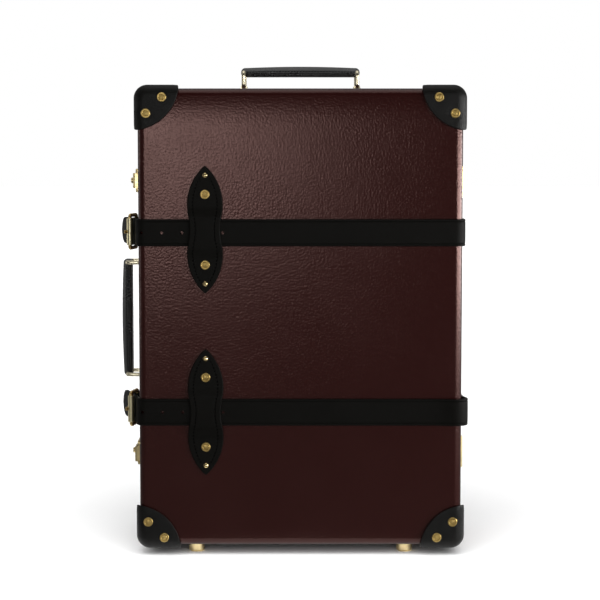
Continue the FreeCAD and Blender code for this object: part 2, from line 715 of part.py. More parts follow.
NOTCH_BACK = f"({HEEL_Y} + tongue_notch)"
NOTCH_HALF = "(tongue_ring_width / 2 + tongue_play)"
BELT_SEAT = f"({BACK} + belt_gap + belt_wall)"
BELT_RIVET = f"({SIDE} - belt_rivet_inset)"
base_rivet_spots = []
for belt, height in BELTS.items():
    slab = belt_slab(f"belt_{belt}_slab", height, (f"-{FAR}", FAR), (f"-{FAR}", FAR))
    around = shared(f"belt_{belt}_around", belt_skin, slab)
    behind = belt_slab(f"belt_{belt}_behind", height, (f"-{FAR}", FAR), (f"{SEAM} - belt_joint / 2", FAR))
    past_end = belt_slab(f"belt_{belt}_past_end", height, (f"-{FAR}", "0"), (f"{FRONT} + {BELT_END}", FAR))
    front_holes = [rod(f"belt_{belt}_front_hole_{count}", "belt_hole", f"3 * {PAST}",
                       f"belt_hole_inset + {count} * belt_hole_pitch - {SIDE}", f"{FRONT} - 2 * {PAST}",
                       height, TO_BACK)
                   for count in range(5)]
    piece(f"belt_{belt}_front", cut(f"belt_{belt}_front", around, behind, past_end, *front_holes))

    ahead = belt_slab(f"belt_{belt}_ahead", height, ("0", FAR), (f"-{FAR}", f"{SEAM} + belt_joint / 2"))
    ahead_left = belt_slab(f"belt_{belt}_ahead_left", height, (f"-{FAR}", "0"), (f"-{FAR}", HEEL_Y))
    band = cut(f"belt_{belt}_band", around, ahead, ahead_left)
    fold = rod(f"belt_{belt}_fold", FOLD_RADIUS, "belt_width", HEEL_X, HEEL_Y, f"{height} - belt_width / 2")
    flap = copy(flap_form, f"belt_{belt}_flap", HEEL_X, HEEL_Y, height)
    strap = join(f"belt_{belt}_strap", band, fold, flap)
    bore = rod(f"belt_{belt}_bore", FOLD_INSIDE, "2 * belt_width", HEEL_X, HEEL_Y, f"{height} - belt_width")
    notch = box(f"belt_{belt}_notch", (f"-{FAR}", f"-{SIDE}"), (f"-{FAR}", NOTCH_BACK),
                (f"{height} - {NOTCH_HALF}", f"{height} + {NOTCH_HALF}"))
    back_holes = []
    for sign in (-1, 1):
        base_rivet_spots.append((f"{sign} * {BELT_RIVET}", BELT_SEAT, height, TO_BACK))
        back_holes.append(rod(f"belt_{belt}_back_hole_{sign + 2}", "rivet_shank", f"2 * {PAST}",
                              f"{sign} * {BELT_RIVET}", f"{BACK} - {PAST} / 2", height, TO_BACK))
    piece(f"belt_{belt}_back", cut(f"belt_{belt}_back", strap, bore, notch, *back_holes))

    tail = copy(tail_form, f"belt_{belt}_tail_strip", f"-{SIDE} - belt_gap - belt_wall / 2",
                f"{FRONT} + {TAIL_FROM}", height, ABOUT_Z)
    bind(tail, **{"Placement.Rotation.Angle": TAIL_ANGLE})
    piece(f"belt_{belt}_tail", together(f"belt_{belt}_tail", tail))

base_rivets = together("base_rivets", copies("base_cap_rivets", cap_rivet_form, base_spots),
                       copies("belt_rivets", belt_rivet_form, base_rivet_spots))
piece("base_rivets", base_rivets)

# Roller buckles: a bent rod frame, a roller on its front bar and a tongue on its heel bar.
BUCKLE_HALF = "(belt_width / 2 + buckle_side_gap + buckle_wire)"
buckle_form = bent_rod("buckle_form", [
    ("0", "0"), ("0", f"{BUCKLE_HALF} - buckle_bend", "buckle_bend"), ("-buckle_bend", BUCKLE_HALF),
    (f"buckle_bend - {BUCKLE_LENGTH}", BUCKLE_HALF, "buckle_bend"),
    (f"-{BUCKLE_LENGTH}", f"{BUCKLE_HALF} - buckle_bend"),
    (f"-{BUCKLE_LENGTH}", f"buckle_bend - {BUCKLE_HALF}", "buckle_bend"),
    (f"buckle_bend - {BUCKLE_LENGTH}", f"-{BUCKLE_HALF}"), ("-buckle_bend", f"-{BUCKLE_HALF}", "buckle_bend"),
    ("0", f"buckle_bend - {BUCKLE_HALF}")], "buckle_wire", True, "XY_Plane")
ROLLER_HALF = f"({BUCKLE_HALF} - buckle_bend - roller_end_gap)"
roller_form = turned("roller_form", [
    ("buckle_wire + roller_play", f"-{ROLLER_HALF}"),
    (f"{ROLLER_RADIUS} - roller_end_gap", f"-{ROLLER_HALF}"),
    (ROLLER_RADIUS, f"roller_end_gap - {ROLLER_HALF}"), (ROLLER_RADIUS, f"{ROLLER_HALF} - roller_end_gap"),
    (f"{ROLLER_RADIUS} - roller_end_gap", ROLLER_HALF), ("buckle_wire + roller_play", ROLLER_HALF)])
for belt, height in BELTS.items():
    for part, form in (("frame", buckle_form), ("tongue", tongue_form)):
        link = copy(form, f"buckle_{belt}_{part}_copy", HEEL_X, HEEL_Y, height, ABOUT_Z)
        bind(link, **{"Placement.Rotation.Angle": f"-{BUCKLE_ANGLE}"})
        piece(f"buckle_{belt}_{part}", together(f"buckle_{belt}_{part}", link))
    roller = copy(roller_form, f"buckle_{belt}_roller_copy", f"-{SIDE} - roller_out",
                  f"{FRONT} + roller_back", height)
    piece(f"buckle_{belt}_roller", together(f"buckle_{belt}_roller", roller))

# Keepers: a leaf outline shared with a profile that bridges the belt.
KEEPER_HALF = "(keeper_width / 2)"
LEAF_ROUND = f"(({KEEPER_HALF}^2 + (keeper_length / 2 - keeper_bulge)^2) / keeper_width)"
WAIST_IN = f"({KEEPER_HALF} - keeper_waist / 2)"
LEAF_SUM = f"(({WAIST_IN}^2 + keeper_bulge^2) / (2 * {WAIST_IN}))"
WAIST_ROUND = f"({LEAF_SUM} - {LEAF_ROUND})"
LEAF_X = f"({KEEPER_HALF} - {LEAF_ROUND} * {WAIST_IN} / {LEAF_SUM})"
LEAF_Z = f"(keeper_bulge - {LEAF_ROUND} * keeper_bulge / {LEAF_SUM})"
BRIDGE = "(belt_gap + belt_wall + keeper_play)"
BRIDGE_HALF = "(belt_width / 2 + upper_keeper_shift + keeper_play)"
RAMP_ROUND = f"(((keeper_ramp / 2)^2 + ({BRIDGE} / 2)^2) / {BRIDGE})"
leaf = new_body("keeper_leaf")
leaf_outline = sketch(leaf, "leaf_outline", "XZ_Plane", [
    ("0", "-keeper_length / 2", LEAF_ROUND), (LEAF_X, f"-{LEAF_Z}", f"-{WAIST_ROUND}"),
    (LEAF_X, LEAF_Z, LEAF_ROUND), ("0", "keeper_length / 2", LEAF_ROUND),
    (f"-{LEAF_X}", LEAF_Z, f"-{WAIST_ROUND}"), (f"-{LEAF_X}", f"-{LEAF_Z}", LEAF_ROUND)])
leaf_pad = pad(leaf, "leaf_pad", leaf_outline, f"{BRIDGE} + keeper_wall + {PAST}")
rounded(leaf, "leaf_tips", leaf_pad, lambda edge: along(1)(edge) and abs(edge.CenterOfMass.x) < 1e-3,
        "keeper_tip")
bridge = new_body("keeper_bridge")
RAMP_LOW = f"({BRIDGE_HALF} + keeper_ramp)"
RAMP_MID = f"({BRIDGE_HALF} + keeper_ramp / 2)"
BRIDGE_TOP = f"({BRIDGE} + keeper_wall)"
under_line = [
    ("0", "-keeper_length / 2"), ("0", f"-{RAMP_LOW}", RAMP_ROUND),
    (f"-{BRIDGE} / 2", f"-{RAMP_MID}", f"-{RAMP_ROUND}"), (f"-{BRIDGE}", f"-{BRIDGE_HALF}"),
    (f"-{BRIDGE}", BRIDGE_HALF, f"-{RAMP_ROUND}"), (f"-{BRIDGE} / 2", RAMP_MID, RAMP_ROUND),
    ("0", RAMP_LOW), ("0", "keeper_length / 2")]
upper_line = [
    ("-keeper_wall", "keeper_length / 2"), ("-keeper_wall", RAMP_LOW, f"-{RAMP_ROUND}"),
    (f"-{BRIDGE} / 2 - keeper_wall", RAMP_MID, RAMP_ROUND), (f"-{BRIDGE_TOP}", BRIDGE_HALF),
    (f"-{BRIDGE_TOP}", f"-{BRIDGE_HALF}", RAMP_ROUND),
    (f"-{BRIDGE} / 2 - keeper_wall", f"-{RAMP_MID}", f"-{RAMP_ROUND}"),
    ("-keeper_wall", f"-{RAMP_LOW}"), ("-keeper_wall", "-keeper_length / 2")]
bridge_side = sketch(bridge, "bridge_side", "YZ_Plane", under_line + upper_line)
pad(bridge, "bridge_pad", bridge_side, "keeper_width + 2 * keeper_wall", middle=True)
keeper_solid = shared("keeper_solid", leaf, bridge)
keeper_holes = []
for radius, height in (("rivet_shank", "keeper_rivet"), ("nail_shank", "keeper_nail")):
    for sign in (-1, 1):
        keeper_holes.append(rod(f"keeper_hole_{len(keeper_holes) + 1}", radius, f"4 * {PAST}", "0",
                                f"-2 * {PAST}", f"{sign} * {height}", TO_BACK))
keeper_form = cut("keeper_form", keeper_solid, *keeper_holes)
KEEPER_X = f"(keeper_inset - {SIDE})"
keeper_rivet_spots = []
keeper_nail_spots = []
for belt, height in KEEPERS.items():
    link = copy(keeper_form, f"keeper_{belt}_copy", KEEPER_X, FRONT, height)
    piece(f"keeper_{belt}", together(f"keeper_{belt}", link))
    for sign in (-1, 1):
        seat = f"{FRONT} - keeper_wall"
        keeper_rivet_spots.append((KEEPER_X, seat, f"{height} + {sign} * keeper_rivet", TO_FRONT))
        keeper_nail_spots.append((KEEPER_X, seat, f"{height} + {sign} * keeper_nail", TO_FRONT))
lid_rivets = together("lid_rivets", copies("lid_cap_rivets", cap_rivet_form, lid_spots),
                      copies("keeper_rivets", keeper_rivet_form, keeper_rivet_spots))
piece("lid_rivets", lid_rivets)
piece("keeper_nails", copies("keeper_nail", nail_form, keeper_nail_spots))

# Carry handles: a padded leather grip on two brass loops whose ends turn inwards and swing in brackets. One set is laid out along X
# with the case's face below, and both handles are made from it.
EAR_OUT = "(loop_half - loop_bend - ear_gap)"
EAR_IN = f"({EAR_OUT} - ear_wall)"
loop_form = bent_rod("loop_form", [
    (f"-{EAR_IN}", "0"), ("loop_bend - loop_half", "0", "-loop_bend"), ("-loop_half", "loop_bend"),
    ("-loop_half", "loop_rise - loop_bend", "-loop_bend"), ("loop_bend - loop_half", "loop_rise"),
    ("loop_half - loop_bend", "loop_rise", "-loop_bend"), ("loop_half", "loop_rise - loop_bend"),
    ("loop_half", "loop_bend", "-loop_bend"), ("loop_half - loop_bend", "0"), (EAR_IN, "0")],
    "loop_wire", False, "XZ_Plane", EAR_IN)

plate = new_body("handle_plate")
PLATE_HALF = f"({EAR_OUT} + plate_margin)"
plate_pad = pad(plate, "plate_pad", sketch(plate, "plate_outline", "XY_Plane",
                                           rectangle("plate_width / 2", PLATE_HALF)), "plate_wall")
rounded(plate, "plate_corners", plate_pad, along(2), "plate_margin")
ear = new_body("handle_ear")
ear_side = sketch(ear, "ear_side", "XZ_Plane", [
    ("-plate_width / 2 + plate_margin", "0"), ("plate_width / 2 - plate_margin", "0"),
    ("ear_radius", "pivot_rise", "ear_radius"), ("0", "pivot_rise + ear_radius", "ear_radius"),
    ("-ear_radius", "pivot_rise")])
pad(ear, "ear_pad", ear_side, "ear_wall", middle=True)
ears = [copy(ear, f"handle_ear_{count}", y=f"{sign} * ({EAR_IN} + ear_wall / 2)")
        for count, sign in ((1, -1), (2, 1))]
pivot = rod("handle_pivot", "loop_wire + pivot_play", f"4 * {EAR_OUT}", "0", f"-2 * {EAR_OUT}", "pivot_rise",
            TO_BACK)
bracket_form = cut("bracket_form", join("bracket_solid", plate, *ears), pivot)


def grip_section(body, count, x, swell):
    """A rounded section of a grip, from the size of its end at swell 0 to that of its middle at 1."""
    half = f"(grip_end_width + {swell} * (grip_width - grip_end_width)) / 2"
    rise = f"(grip_end_thick + {swell} * (grip_thick - grip_end_thick)) / 2"
    low = f"({swell} * grip_bow - {rise})"
    high = f"({swell} * grip_bow + {rise})"
    corners = [(f"grip_round - {half}", low), (f"{half} - grip_round", low, "grip_round"),
               (half, f"{low} + grip_round"), (half, f"{high} - grip_round", "grip_round"),
               (f"{half} - grip_round", high), (f"grip_round - {half}", high, "grip_round"),
               (f"-{half}", f"{high} - grip_round"), (f"-{half}", f"{low} + grip_round", "grip_round")]
    return sketch(body, f"{body.Label}_section_{count}", "YZ_Plane", corners, lift=x)


def padded_grip(name, span):
    """A grip along X that bows out between its two bores, which stand a span apart."""
    body = new_body(name + "_pad")
    end = f"({span} / 2 + grip_overhang)"
    sections = [grip_section(body, count + 1, f"({count} / 2 - 1) * {end}", swell)
                for count, swell in enumerate(("0", "grip_swell", "1", "grip_swell", "0"))]
    loft = body.newObject("PartDesign::AdditiveLoft", name + "_loft")
    loft.Profile = sections[0]
    loft.Sections = sections[1:]
    bores = [rod(f"{name}_bore_{count}", "loop_wire + pivot_play", "2 * grip_width", f"{sign} * {span} / 2",
                 "-grip_width", "0", TO_BACK) for count, sign in ((1, -1), (2, 1))]
    return cut(name + "_form", body, *bores)


def carry_handle(name, ends, span, spot, turn):
    """One handle: brackets, two loops and the grip. Spot gives a place from (along, out) on its face."""
    shift = f"{span} / 2"
    piece(f"{name}_brackets", copies(f"{name}_bracket", bracket_form,
                                     [(*spot(f"-{shift}", "0"), turn), (*spot(shift, "0"), turn)]))
    for end, along_face in zip(ends, (f"-{shift}", shift)):
        link = copy(loop_form, f"{name}_loop_{end}_copy", *spot(along_face, "pivot_rise"), turn)
        piece(f"{name}_loop_{end}", together(f"{name}_loop_{end}", link))
    grip_form = padded_grip(f"{name}_grip", span)
    link = copy(grip_form, f"{name}_grip_copy", *spot("0", "pivot_rise + loop_rise"), turn)
    piece(f"{name}_grip", together(f"{name}_grip", link))


# The top handle stands ahead of the pull handle, and the side handle fits between the belts.
HANDLE_Y = f"({TUBE_BACK} - handle_ahead)"
SIDE_HANDLE_Z = f"({HARDWARE} - side_handle_drop)"
SIDE_SPAN = "(belt_spread - 2 * side_handle_clear)"
carry_handle("top_handle", ("left", "right"), "handle_span",
             lambda x, out: (x, HANDLE_Y, f"{TOP} + {out}"), UPRIGHT)
carry_handle("side_handle", ("lower", "upper"), SIDE_SPAN,
             lambda x, out: (f"-{SIDE} - ({out})", HANDLE_Y, f"{SIDE_HANDLE_Z} + {x}"), TO_LEFT)

# Locks: a case on the base with a sliding thumb knob, and a hinged hasp on the lid whose staple enters the
# case. They are laid out at the origin with the left face at x = 0, the seam at y = 0 and outwards along -X.
LOCK_END = "(lock_seam + lock_depth)"
LOCKS = {"upper": f"({HARDWARE} + lock_spread / 2)", "lower": f"({HARDWARE} - lock_spread / 2)"}


def rounded_plate(name, near, far, half, length):
    """A plate on the left face, from one distance behind the seam to another, standing out by a length."""
    body = new_body(name)
    outline = sketch(body, name + "_outline", "YZ_Plane",
                     [(near, f"-{half}"), (far, f"-{half}"), (far, half), (near, half)])
    feature = pad(body, name + "_pad", outline, length, reverse=True)
    rounded(body, name + "_corners", feature, along(0), "lock_round")
    return body


lock_body = rounded_plate("lock_body", "lock_seam", LOCK_END, "(lock_height / 2)", "lock_rise")
rounded(lock_body, "lock_edges", lock_body.Tip, level(0, -number("lock_rise")), "lock_edge")
lock_plate = rounded_plate("lock_back", "lock_seam", LOCK_END, "(lock_plate_height / 2)", "lock_plate")
staple_slot = box("staple_slot", (f"-lock_rise - {PAST}", "staple_reach + staple_gap - lock_rise"),
                  (f"-{PAST}", "hasp_cover + staple_gap"),
                  ("-staple_width / 2 - staple_gap", "staple_width / 2 + staple_gap"))
knob_slot = box("knob_slot", (f"-lock_rise - {PAST}", "knob_depth + knob_play - lock_rise"),
                ("knob_seam - knob_neck - knob_play", "knob_seam + knob_neck + knob_play"),
                ("-knob_neck - knob_play", "knob_travel + knob_neck + knob_play"))
lock_form = cut("lock_form", join("lock_solid", lock_body, lock_plate), staple_slot, knob_slot)
knob_form = turned("knob_form", [
    ("0", "-knob_depth"), ("knob_neck", "-knob_depth"), ("knob_neck", "knob_flare"),
    ("knob_radius", "knob_rim"), ("knob_radius", "knob_shoulder"), ("knob_crown", "knob_rise"),
    ("0", "knob_rise")])

HASP_TOP = "(lock_rise + hasp_gap + hasp_wall)"
HASP_FOOT = "(-hasp_pivot_seam - hasp_barrel)"
hasp_arm = new_body("hasp_arm")
hasp_side = sketch(hasp_arm, "hasp_side", "XY_Plane", [
    ("-hasp_pivot_out", HASP_FOOT), (f"hasp_barrel - {HASP_TOP}", HASP_FOOT, "-hasp_barrel"),
    (f"-{HASP_TOP}", f"{HASP_FOOT} + hasp_barrel"), (f"-{HASP_TOP}", "hasp_cover"),
    (f"hasp_wall - {HASP_TOP}", "hasp_cover"), (f"hasp_wall - {HASP_TOP}", f"{HASP_FOOT} + hasp_barrel"),
    ("-hasp_pivot_out", f"{HASP_FOOT} + hasp_barrel")])
pad(hasp_arm, "hasp_pad", hasp_side, "hasp_width", middle=True)
HASP_PIN_HALF = "(hasp_width / 2 + staple_gap + hasp_ear)"


def hasp_rod(name, radius, low, high):
    """A rod about the hasp's pivot."""
    return rod(name, radius, f"{high} - ({low})", "-hasp_pivot_out", "-hasp_pivot_seam", low)


hasp_barrel = hasp_rod("hasp_barrel", "hasp_barrel", "-hasp_width / 2", "hasp_width / 2")
hasp_pin = hasp_rod("hasp_pin", "hasp_pin", f"-{HASP_PIN_HALF}", HASP_PIN_HALF)
staple = box("staple", (f"hasp_wall - {HASP_TOP} - hasp_wall / 2", f"hasp_wall - {HASP_TOP} + staple_reach"),
             ("hasp_cover - staple_depth", "hasp_cover"), ("-staple_width / 2", "staple_width / 2"))
hasp_form = join("hasp_form", hasp_arm, hasp_barrel, hasp_pin, staple)
hasp_plate = rounded_plate("hasp_plate", "-hasp_plate_reach", "-lock_seam", f"({HASP_PIN_HALF} + hasp_pin)",
                           "lock_plate")
hasp_ears = []
for count, low in ((1, f"-{HASP_PIN_HALF}"), (2, f"{HASP_PIN_HALF} - hasp_ear")):
    hasp_ears.append(hasp_rod(f"hasp_ear_round_{count}", "hasp_barrel", low, f"{low} + hasp_ear"))
    hasp_ears.append(box(f"hasp_ear_foot_{count}", ("-hasp_pivot_out", "0"),
                         (f"{HASP_FOOT}", f"{HASP_FOOT} + 2 * hasp_barrel"), (low, f"{low} + hasp_ear")))
hasp_bore = hasp_rod("hasp_bore", "hasp_pin + hasp_pin_play", f"-2 * {HASP_PIN_HALF}", f"2 * {HASP_PIN_HALF}")
hasp_plate_form = cut("hasp_plate_form", join("hasp_plate_solid", hasp_plate, *hasp_ears), hasp_bore)
lock_spots = [(f"-{SIDE}", SEAM, height) for height in LOCKS.values()]
piece("lock_cases", copies("lock_case", lock_form, lock_spots))
piece("hasp_plates", copies("hasp_plate", hasp_plate_form, lock_spots))
for lock, height in LOCKS.items():
    link = copy(knob_form, f"lock_{lock}_knob_copy", f"-{SIDE} - lock_rise", f"{SEAM} + knob_seam", height,
                TO_LEFT)
    piece(f"lock_{lock}_knob", together(f"lock_{lock}_knob", link))
    link = copy(hasp_form, f"hasp_{lock}_copy", f"-{SIDE}", SEAM, height)
    piece(f"hasp_{lock}", together(f"hasp_{lock}", link))

# Hinges: three knuckles on a pin, two on the base's leaf and one on the lid's. Laid out about the pin.
def hinge_leaf(name, sign, spans, bore):
    """A leaf on one side of the seam with knuckles over the given heights."""
    edge = "(hinge_barrel + leaf_clear)"
    reach = [f"{sign} * {edge}", f"{sign} * leaf_reach"]
    face = ("-hinge_out", "leaf_wall - hinge_out")
    whole = ("-hinge_length / 2", "hinge_length / 2")
    solids = [box(name + "_plate", face, sorted(reach, key=number), whole)]
    for count, (low, high) in enumerate(spans, 1):
        strip = sorted(("0", f"{sign} * {edge}"), key=number)
        solids.append(box(f"{name}_strip_{count}", face, strip, (low, high)))
        solids.append(rod(f"{name}_knuckle_{count}", "hinge_barrel", f"{high} - ({low})", z=low))
    hole = rod(name + "_bore", bore, "2 * hinge_length", z="-hinge_length")
    return cut(name, join(name + "_solid", *solids), hole)


LID_KNUCKLE = "(hinge_length / 6 - knuckle_gap / 2)"
BASE_KNUCKLE = "(hinge_length / 6 + knuckle_gap / 2)"
base_spans = [("-hinge_length / 2", f"-{BASE_KNUCKLE}"), (BASE_KNUCKLE, "hinge_length / 2")]
base_leaf = hinge_leaf("base_leaf", 1, base_spans, "hinge_pin")
lid_leaf = hinge_leaf("lid_leaf", -1, [(f"-{LID_KNUCKLE}", LID_KNUCKLE)], "hinge_pin + hinge_play")
pin_form = turned("pin_form", [("0", "-hinge_length / 2"), ("hinge_pin", "-hinge_length / 2"),
                               ("hinge_pin", "hinge_length / 2"), ("0", "hinge_length / 2")])
hinge_spots = [(f"{SIDE} + hinge_out", SEAM, f"{HARDWARE} + {sign} * hinge_spread / 2") for sign in (1, -1)]
piece("base_hinge_leaves", copies("base_hinge_leaf", base_leaf, hinge_spots))
piece("lid_hinge_leaves", copies("lid_hinge_leaf", lid_leaf, hinge_spots))
piece("hinge_pins", copies("hinge_pin", pin_form, hinge_spots))

# Front feet: turned buttons under the lid.
foot_form = turned("foot_form", [
    ("0", "0"), ("foot_sole", "0"), ("foot_radius", "foot_flare"), ("foot_radius", "foot_belly"),
    ("foot_waist", "foot_neck"), ("foot_waist", "foot_height"), ("0", "foot_height")])
piece("front_feet", copies("front_foot", foot_form, [
    (f"{sign} * ({SIDE} - foot_inset)", f"{FRONT} + foot_back", "0") for sign in (-1, 1)]))

# Telescopic handle: three nested pairs of tubes, a cup let into the top, a grip and its button.
CUP_FLOOR = f"({TOP} - cup_deep)"
PULL_LOW = f"({CUP_FLOOR} + pull_lift)"
PULL_HIGH = f"({TOP} + pull_proud)"
TUBE_LOW = "(foot_height + fibre_wall + tube_foot - tube_socket)"
NEST = "(tube_wall + tube_play)"


def tube_blocks(name, inset, low, high):
    """A box at each of the two tubes, smaller than the outer tube by an inset all round."""
    half_x = f"(tube_width / 2 - ({inset}))"
    half_y = f"(tube_depth / 2 - ({inset}))"
    blocks = []
    for count, sign in ((1, -1), (2, 1)):
        middle = f"{sign} * tube_spread / 2"
        blocks.append(box(f"{name}_{count}", (f"{middle} - {half_x}", f"{middle} + {half_x}"),
                          (f"{TUBE_BACK} - {half_y}", f"{TUBE_BACK} + {half_y}"), (low, high)))
    return blocks


def tube_pair(name, step, low, high):
    """Two rectangular tubes. Each step is smaller by a wall and the play between tubes."""
    solids = tube_blocks(name + "_outside", f"{step} * {NEST}", low, high)
    rooms = tube_blocks(name + "_inside", f"{step} * {NEST} + tube_wall", low, high)
    tubes = [cut(f"{name}_{count}", *pair) for count, pair in enumerate(zip(solids, rooms), 1)]
    return together(name + "s", *tubes)


piece("trolley_outer_tubes", tube_pair("outer_tube", 0, TUBE_LOW, f"{CUP_FLOOR} - cup_floor"))
piece("trolley_middle_tubes", tube_pair("middle_tube", 1, f"{TUBE_LOW} + tube_step",
                                        f"{PULL_LOW} - tube_play"))
piece("trolley_inner_tubes", tube_pair("inner_tube", 2, f"{TUBE_LOW} + 2 * tube_step",
                                       f"{PULL_LOW} + tube_socket"))
BAR_LENGTH = "(tube_spread / 2 + tube_width / 2 + socket_wall)"
BAR_WIDTH = "(tube_depth / 2 + socket_wall)"
tube_foot = box("tube_foot_bar", (f"-{BAR_LENGTH}", BAR_LENGTH),
                (f"{TUBE_BACK} - {BAR_WIDTH}", f"{TUBE_BACK} + {BAR_WIDTH}"),
                ("foot_height + fibre_wall", "foot_height + fibre_wall + tube_foot"))
sockets = tube_blocks("foot_socket", "0", TUBE_LOW, TOP)
piece("trolley_foot_bar", cut("trolley_foot_bar", tube_foot, *sockets))

flange_body = new_body("cup_flange_body")
flange_pad = pad(flange_body, "flange_pad", sketch(flange_body, "flange_outline", "XY_Plane", rectangle(
    f"({CUP_HALF_LENGTH} + cup_flange_width)", f"({CUP_HALF_WIDTH} + cup_flange_width)")), "cup_flange")
rounded(flange_body, "flange_corners", flange_pad, along(2), "cup_wall + cup_flange_width")
place(flange_body, y=TUBE_BACK, z=TOP)
cup_block = box("cup_block", (f"-{CUP_HALF_LENGTH}", CUP_HALF_LENGTH),
                (f"{TUBE_BACK} - {CUP_HALF_WIDTH}", f"{TUBE_BACK} + {CUP_HALF_WIDTH}"),
                (f"{CUP_FLOOR} - cup_floor", TOP))
cup_room = box("cup_room", ("-pull_length / 2 - pull_play", "pull_length / 2 + pull_play"),
               (f"{TUBE_BACK} - pull_width / 2 - pull_play", f"{TUBE_BACK} + pull_width / 2 + pull_play"),
               (CUP_FLOOR, f"{TOP} + {PAST}"))
cup_holes = tube_blocks("cup_hole", f"{NEST} - tube_play", f"{CUP_FLOOR} - {PAST}", f"{CUP_FLOOR} + {PAST}")
piece("trolley_cup", cut("trolley_cup", join("cup_solid", cup_block, flange_body), cup_room, *cup_holes))

pull_body = new_body("pull_body")
pull_pad = pad(pull_body, "pull_pad", sketch(pull_body, "pull_outline", "XY_Plane", rectangle(
    "(pull_length / 2)", "(pull_width / 2)")), f"{PULL_HIGH} - {PULL_LOW}")
pull_top = number(f"{PULL_HIGH} - {PULL_LOW}")
rounded(pull_body, "pull_edges", pull_pad, level(2, pull_top), "pull_round")
place(pull_body, y=TUBE_BACK, z=PULL_LOW)
pull_sockets = tube_blocks("pull_socket", f"2 * {NEST}", f"{PULL_LOW} - {PAST}", f"{PULL_LOW} + tube_socket")
ROOM_LENGTH = "(button_length / 2 + button_play)"
ROOM_WIDTH = "(button_width / 2 + button_play)"
button_room = box("button_room", (f"-{ROOM_LENGTH}", ROOM_LENGTH),
                  (f"{TUBE_BACK} - {ROOM_WIDTH}", f"{TUBE_BACK} + {ROOM_WIDTH}"),
                  (f"{PULL_HIGH} - button_deep - button_travel - button_play", f"{PULL_HIGH} + {PAST}"))
piece("trolley_grip", cut("trolley_grip", pull_body, *pull_sockets, button_room))
button_body = new_body("button_body")
button_pad = pad(button_body, "button_pad", sketch(button_body, "button_outline", "XY_Plane", rectangle(
    "(button_length / 2)", "(button_width / 2)")), "button_deep + button_rise")
rounded(button_body, "button_edges", button_pad, level(2, number("button_deep + button_rise")), "button_edge")
piece("trolley_button", together("trolley_button", copy(button_body, "button_copy", "0", TUBE_BACK,
                                                        f"{PULL_HIGH} - button_deep")))

# Wheels: a housing let into the rear edge, an axle, two bearings, a spoked hub and a tyre.
case_whole = whole_block("case_whole", "0")
flange_whole = whole_block("flange_whole", "well_flange")
flange_skin = cut("flange_skin", flange_whole, whole_block("flange_inside", "0"))
HUB_RADIUS = "(wheel_radius - tyre_wall)"
HUB_HALF = "(wheel_width / 2 - hub_inset)"
BOSS_RADIUS = "(bearing_radius + hub_boss)"
tyre_form = turned("tyre_form", [
    (HUB_RADIUS, "-wheel_width / 2"), ("wheel_radius - tyre_round", "-wheel_width / 2", "tyre_round"),
    ("wheel_radius", "tyre_round - wheel_width / 2"),
    ("wheel_radius", "wheel_width / 2 - tyre_round", "tyre_round"),
    ("wheel_radius - tyre_round", "wheel_width / 2"), (HUB_RADIUS, "wheel_width / 2")])
SEAT = f"({HUB_HALF} - bearing_width)"
RIM_INSIDE = f"({HUB_RADIUS} - hub_rim)"
half_hub = [("bearing_radius", SEAT), ("bearing_radius", HUB_HALF), (BOSS_RADIUS, HUB_HALF),
            (BOSS_RADIUS, "web_wall / 2"), (RIM_INSIDE, "web_wall / 2"), (RIM_INSIDE, HUB_HALF),
            (HUB_RADIUS, HUB_HALF)]
lower_hub = [(radius, f"-{height}") for radius, height in half_hub]
hub_form = turned("hub_form", [("axle_radius + hub_boss", f"-{SEAT}")] + lower_hub + half_hub[::-1]
                  + [("axle_radius + hub_boss", SEAT)])
doc.recompute()
WEB_MIDDLE = f"({BOSS_RADIUS} + {RIM_INSIDE}) / 2"
spoke = ring(hub_form, "spoke_hole_ring", "XY_Plane", "spoke_hole", across=WEB_MIDDLE)
spoke_cut = pocket_through(hub_form, "spoke_hole_cut", spoke)
spokes = hub_form.newObject("PartDesign::PolarPattern", "spoke_holes")
spokes.Originals = [spoke_cut]
spokes.Axis = (spoke, ["N_Axis"])
spokes.Angle = 360
spokes.Occurrences = 6
hub_form.Tip = spokes
bearing_form = turned("bearing_form", [
    ("axle_radius + axle_play", "-bearing_width / 2"), ("bearing_radius", "-bearing_width / 2"),
    ("bearing_radius", "bearing_width / 2"), ("axle_radius + axle_play", "bearing_width / 2")])
ROOM_HALF = "(wheel_width / 2 + wheel_side_gap)"
BEARING_SHIFT = f"({HUB_HALF} - bearing_width / 2)"
axles = []
for side, sign in WHEEL_SIDES.items():
    hub_x = f"{sign} * {WHEEL_ACROSS}"
    drum = shared(f"{side}_well_drum", well(f"{side}_drum", sign), case_whole)
    rim = well(f"{side}_flange_drum", sign, "well_flange_width")
    flange = shared(f"{side}_well_flange", rim, flange_skin)
    room = rod(f"{side}_wheel_room", "wheel_radius + wheel_gap", f"2 * {ROOM_HALF}", f"{hub_x} - {ROOM_HALF}",
               WHEEL_BACK, "wheel_radius", TO_RIGHT)
    axle_spot = (f"{hub_x} - {WELL_WIDTH} / 2", WHEEL_BACK, "wheel_radius", TO_RIGHT)
    axle_hole = rod(f"{side}_axle_hole", "axle_radius", WELL_WIDTH, *axle_spot)
    solid = join(f"{side}_well_solid", drum, flange)
    piece(f"wheel_{side}_housing", cut(f"wheel_{side}_housing", solid, room, axle_hole))
    axles.append(rod(f"{side}_axle", "axle_radius", WELL_WIDTH, *axle_spot))
    for part, form in (("tyre", tyre_form), ("hub", hub_form)):
        link = copy(form, f"wheel_{side}_{part}_copy", hub_x, WHEEL_BACK, "wheel_radius", TO_RIGHT)
        piece(f"wheel_{side}_{part}", together(f"wheel_{side}_{part}", link))
    piece(f"wheel_{side}_bearings", copies(f"wheel_{side}_bearing", bearing_form, [
        (f"{hub_x} + {way} * {BEARING_SHIFT}", WHEEL_BACK, "wheel_radius", TO_RIGHT) for way in (-1, 1)]))
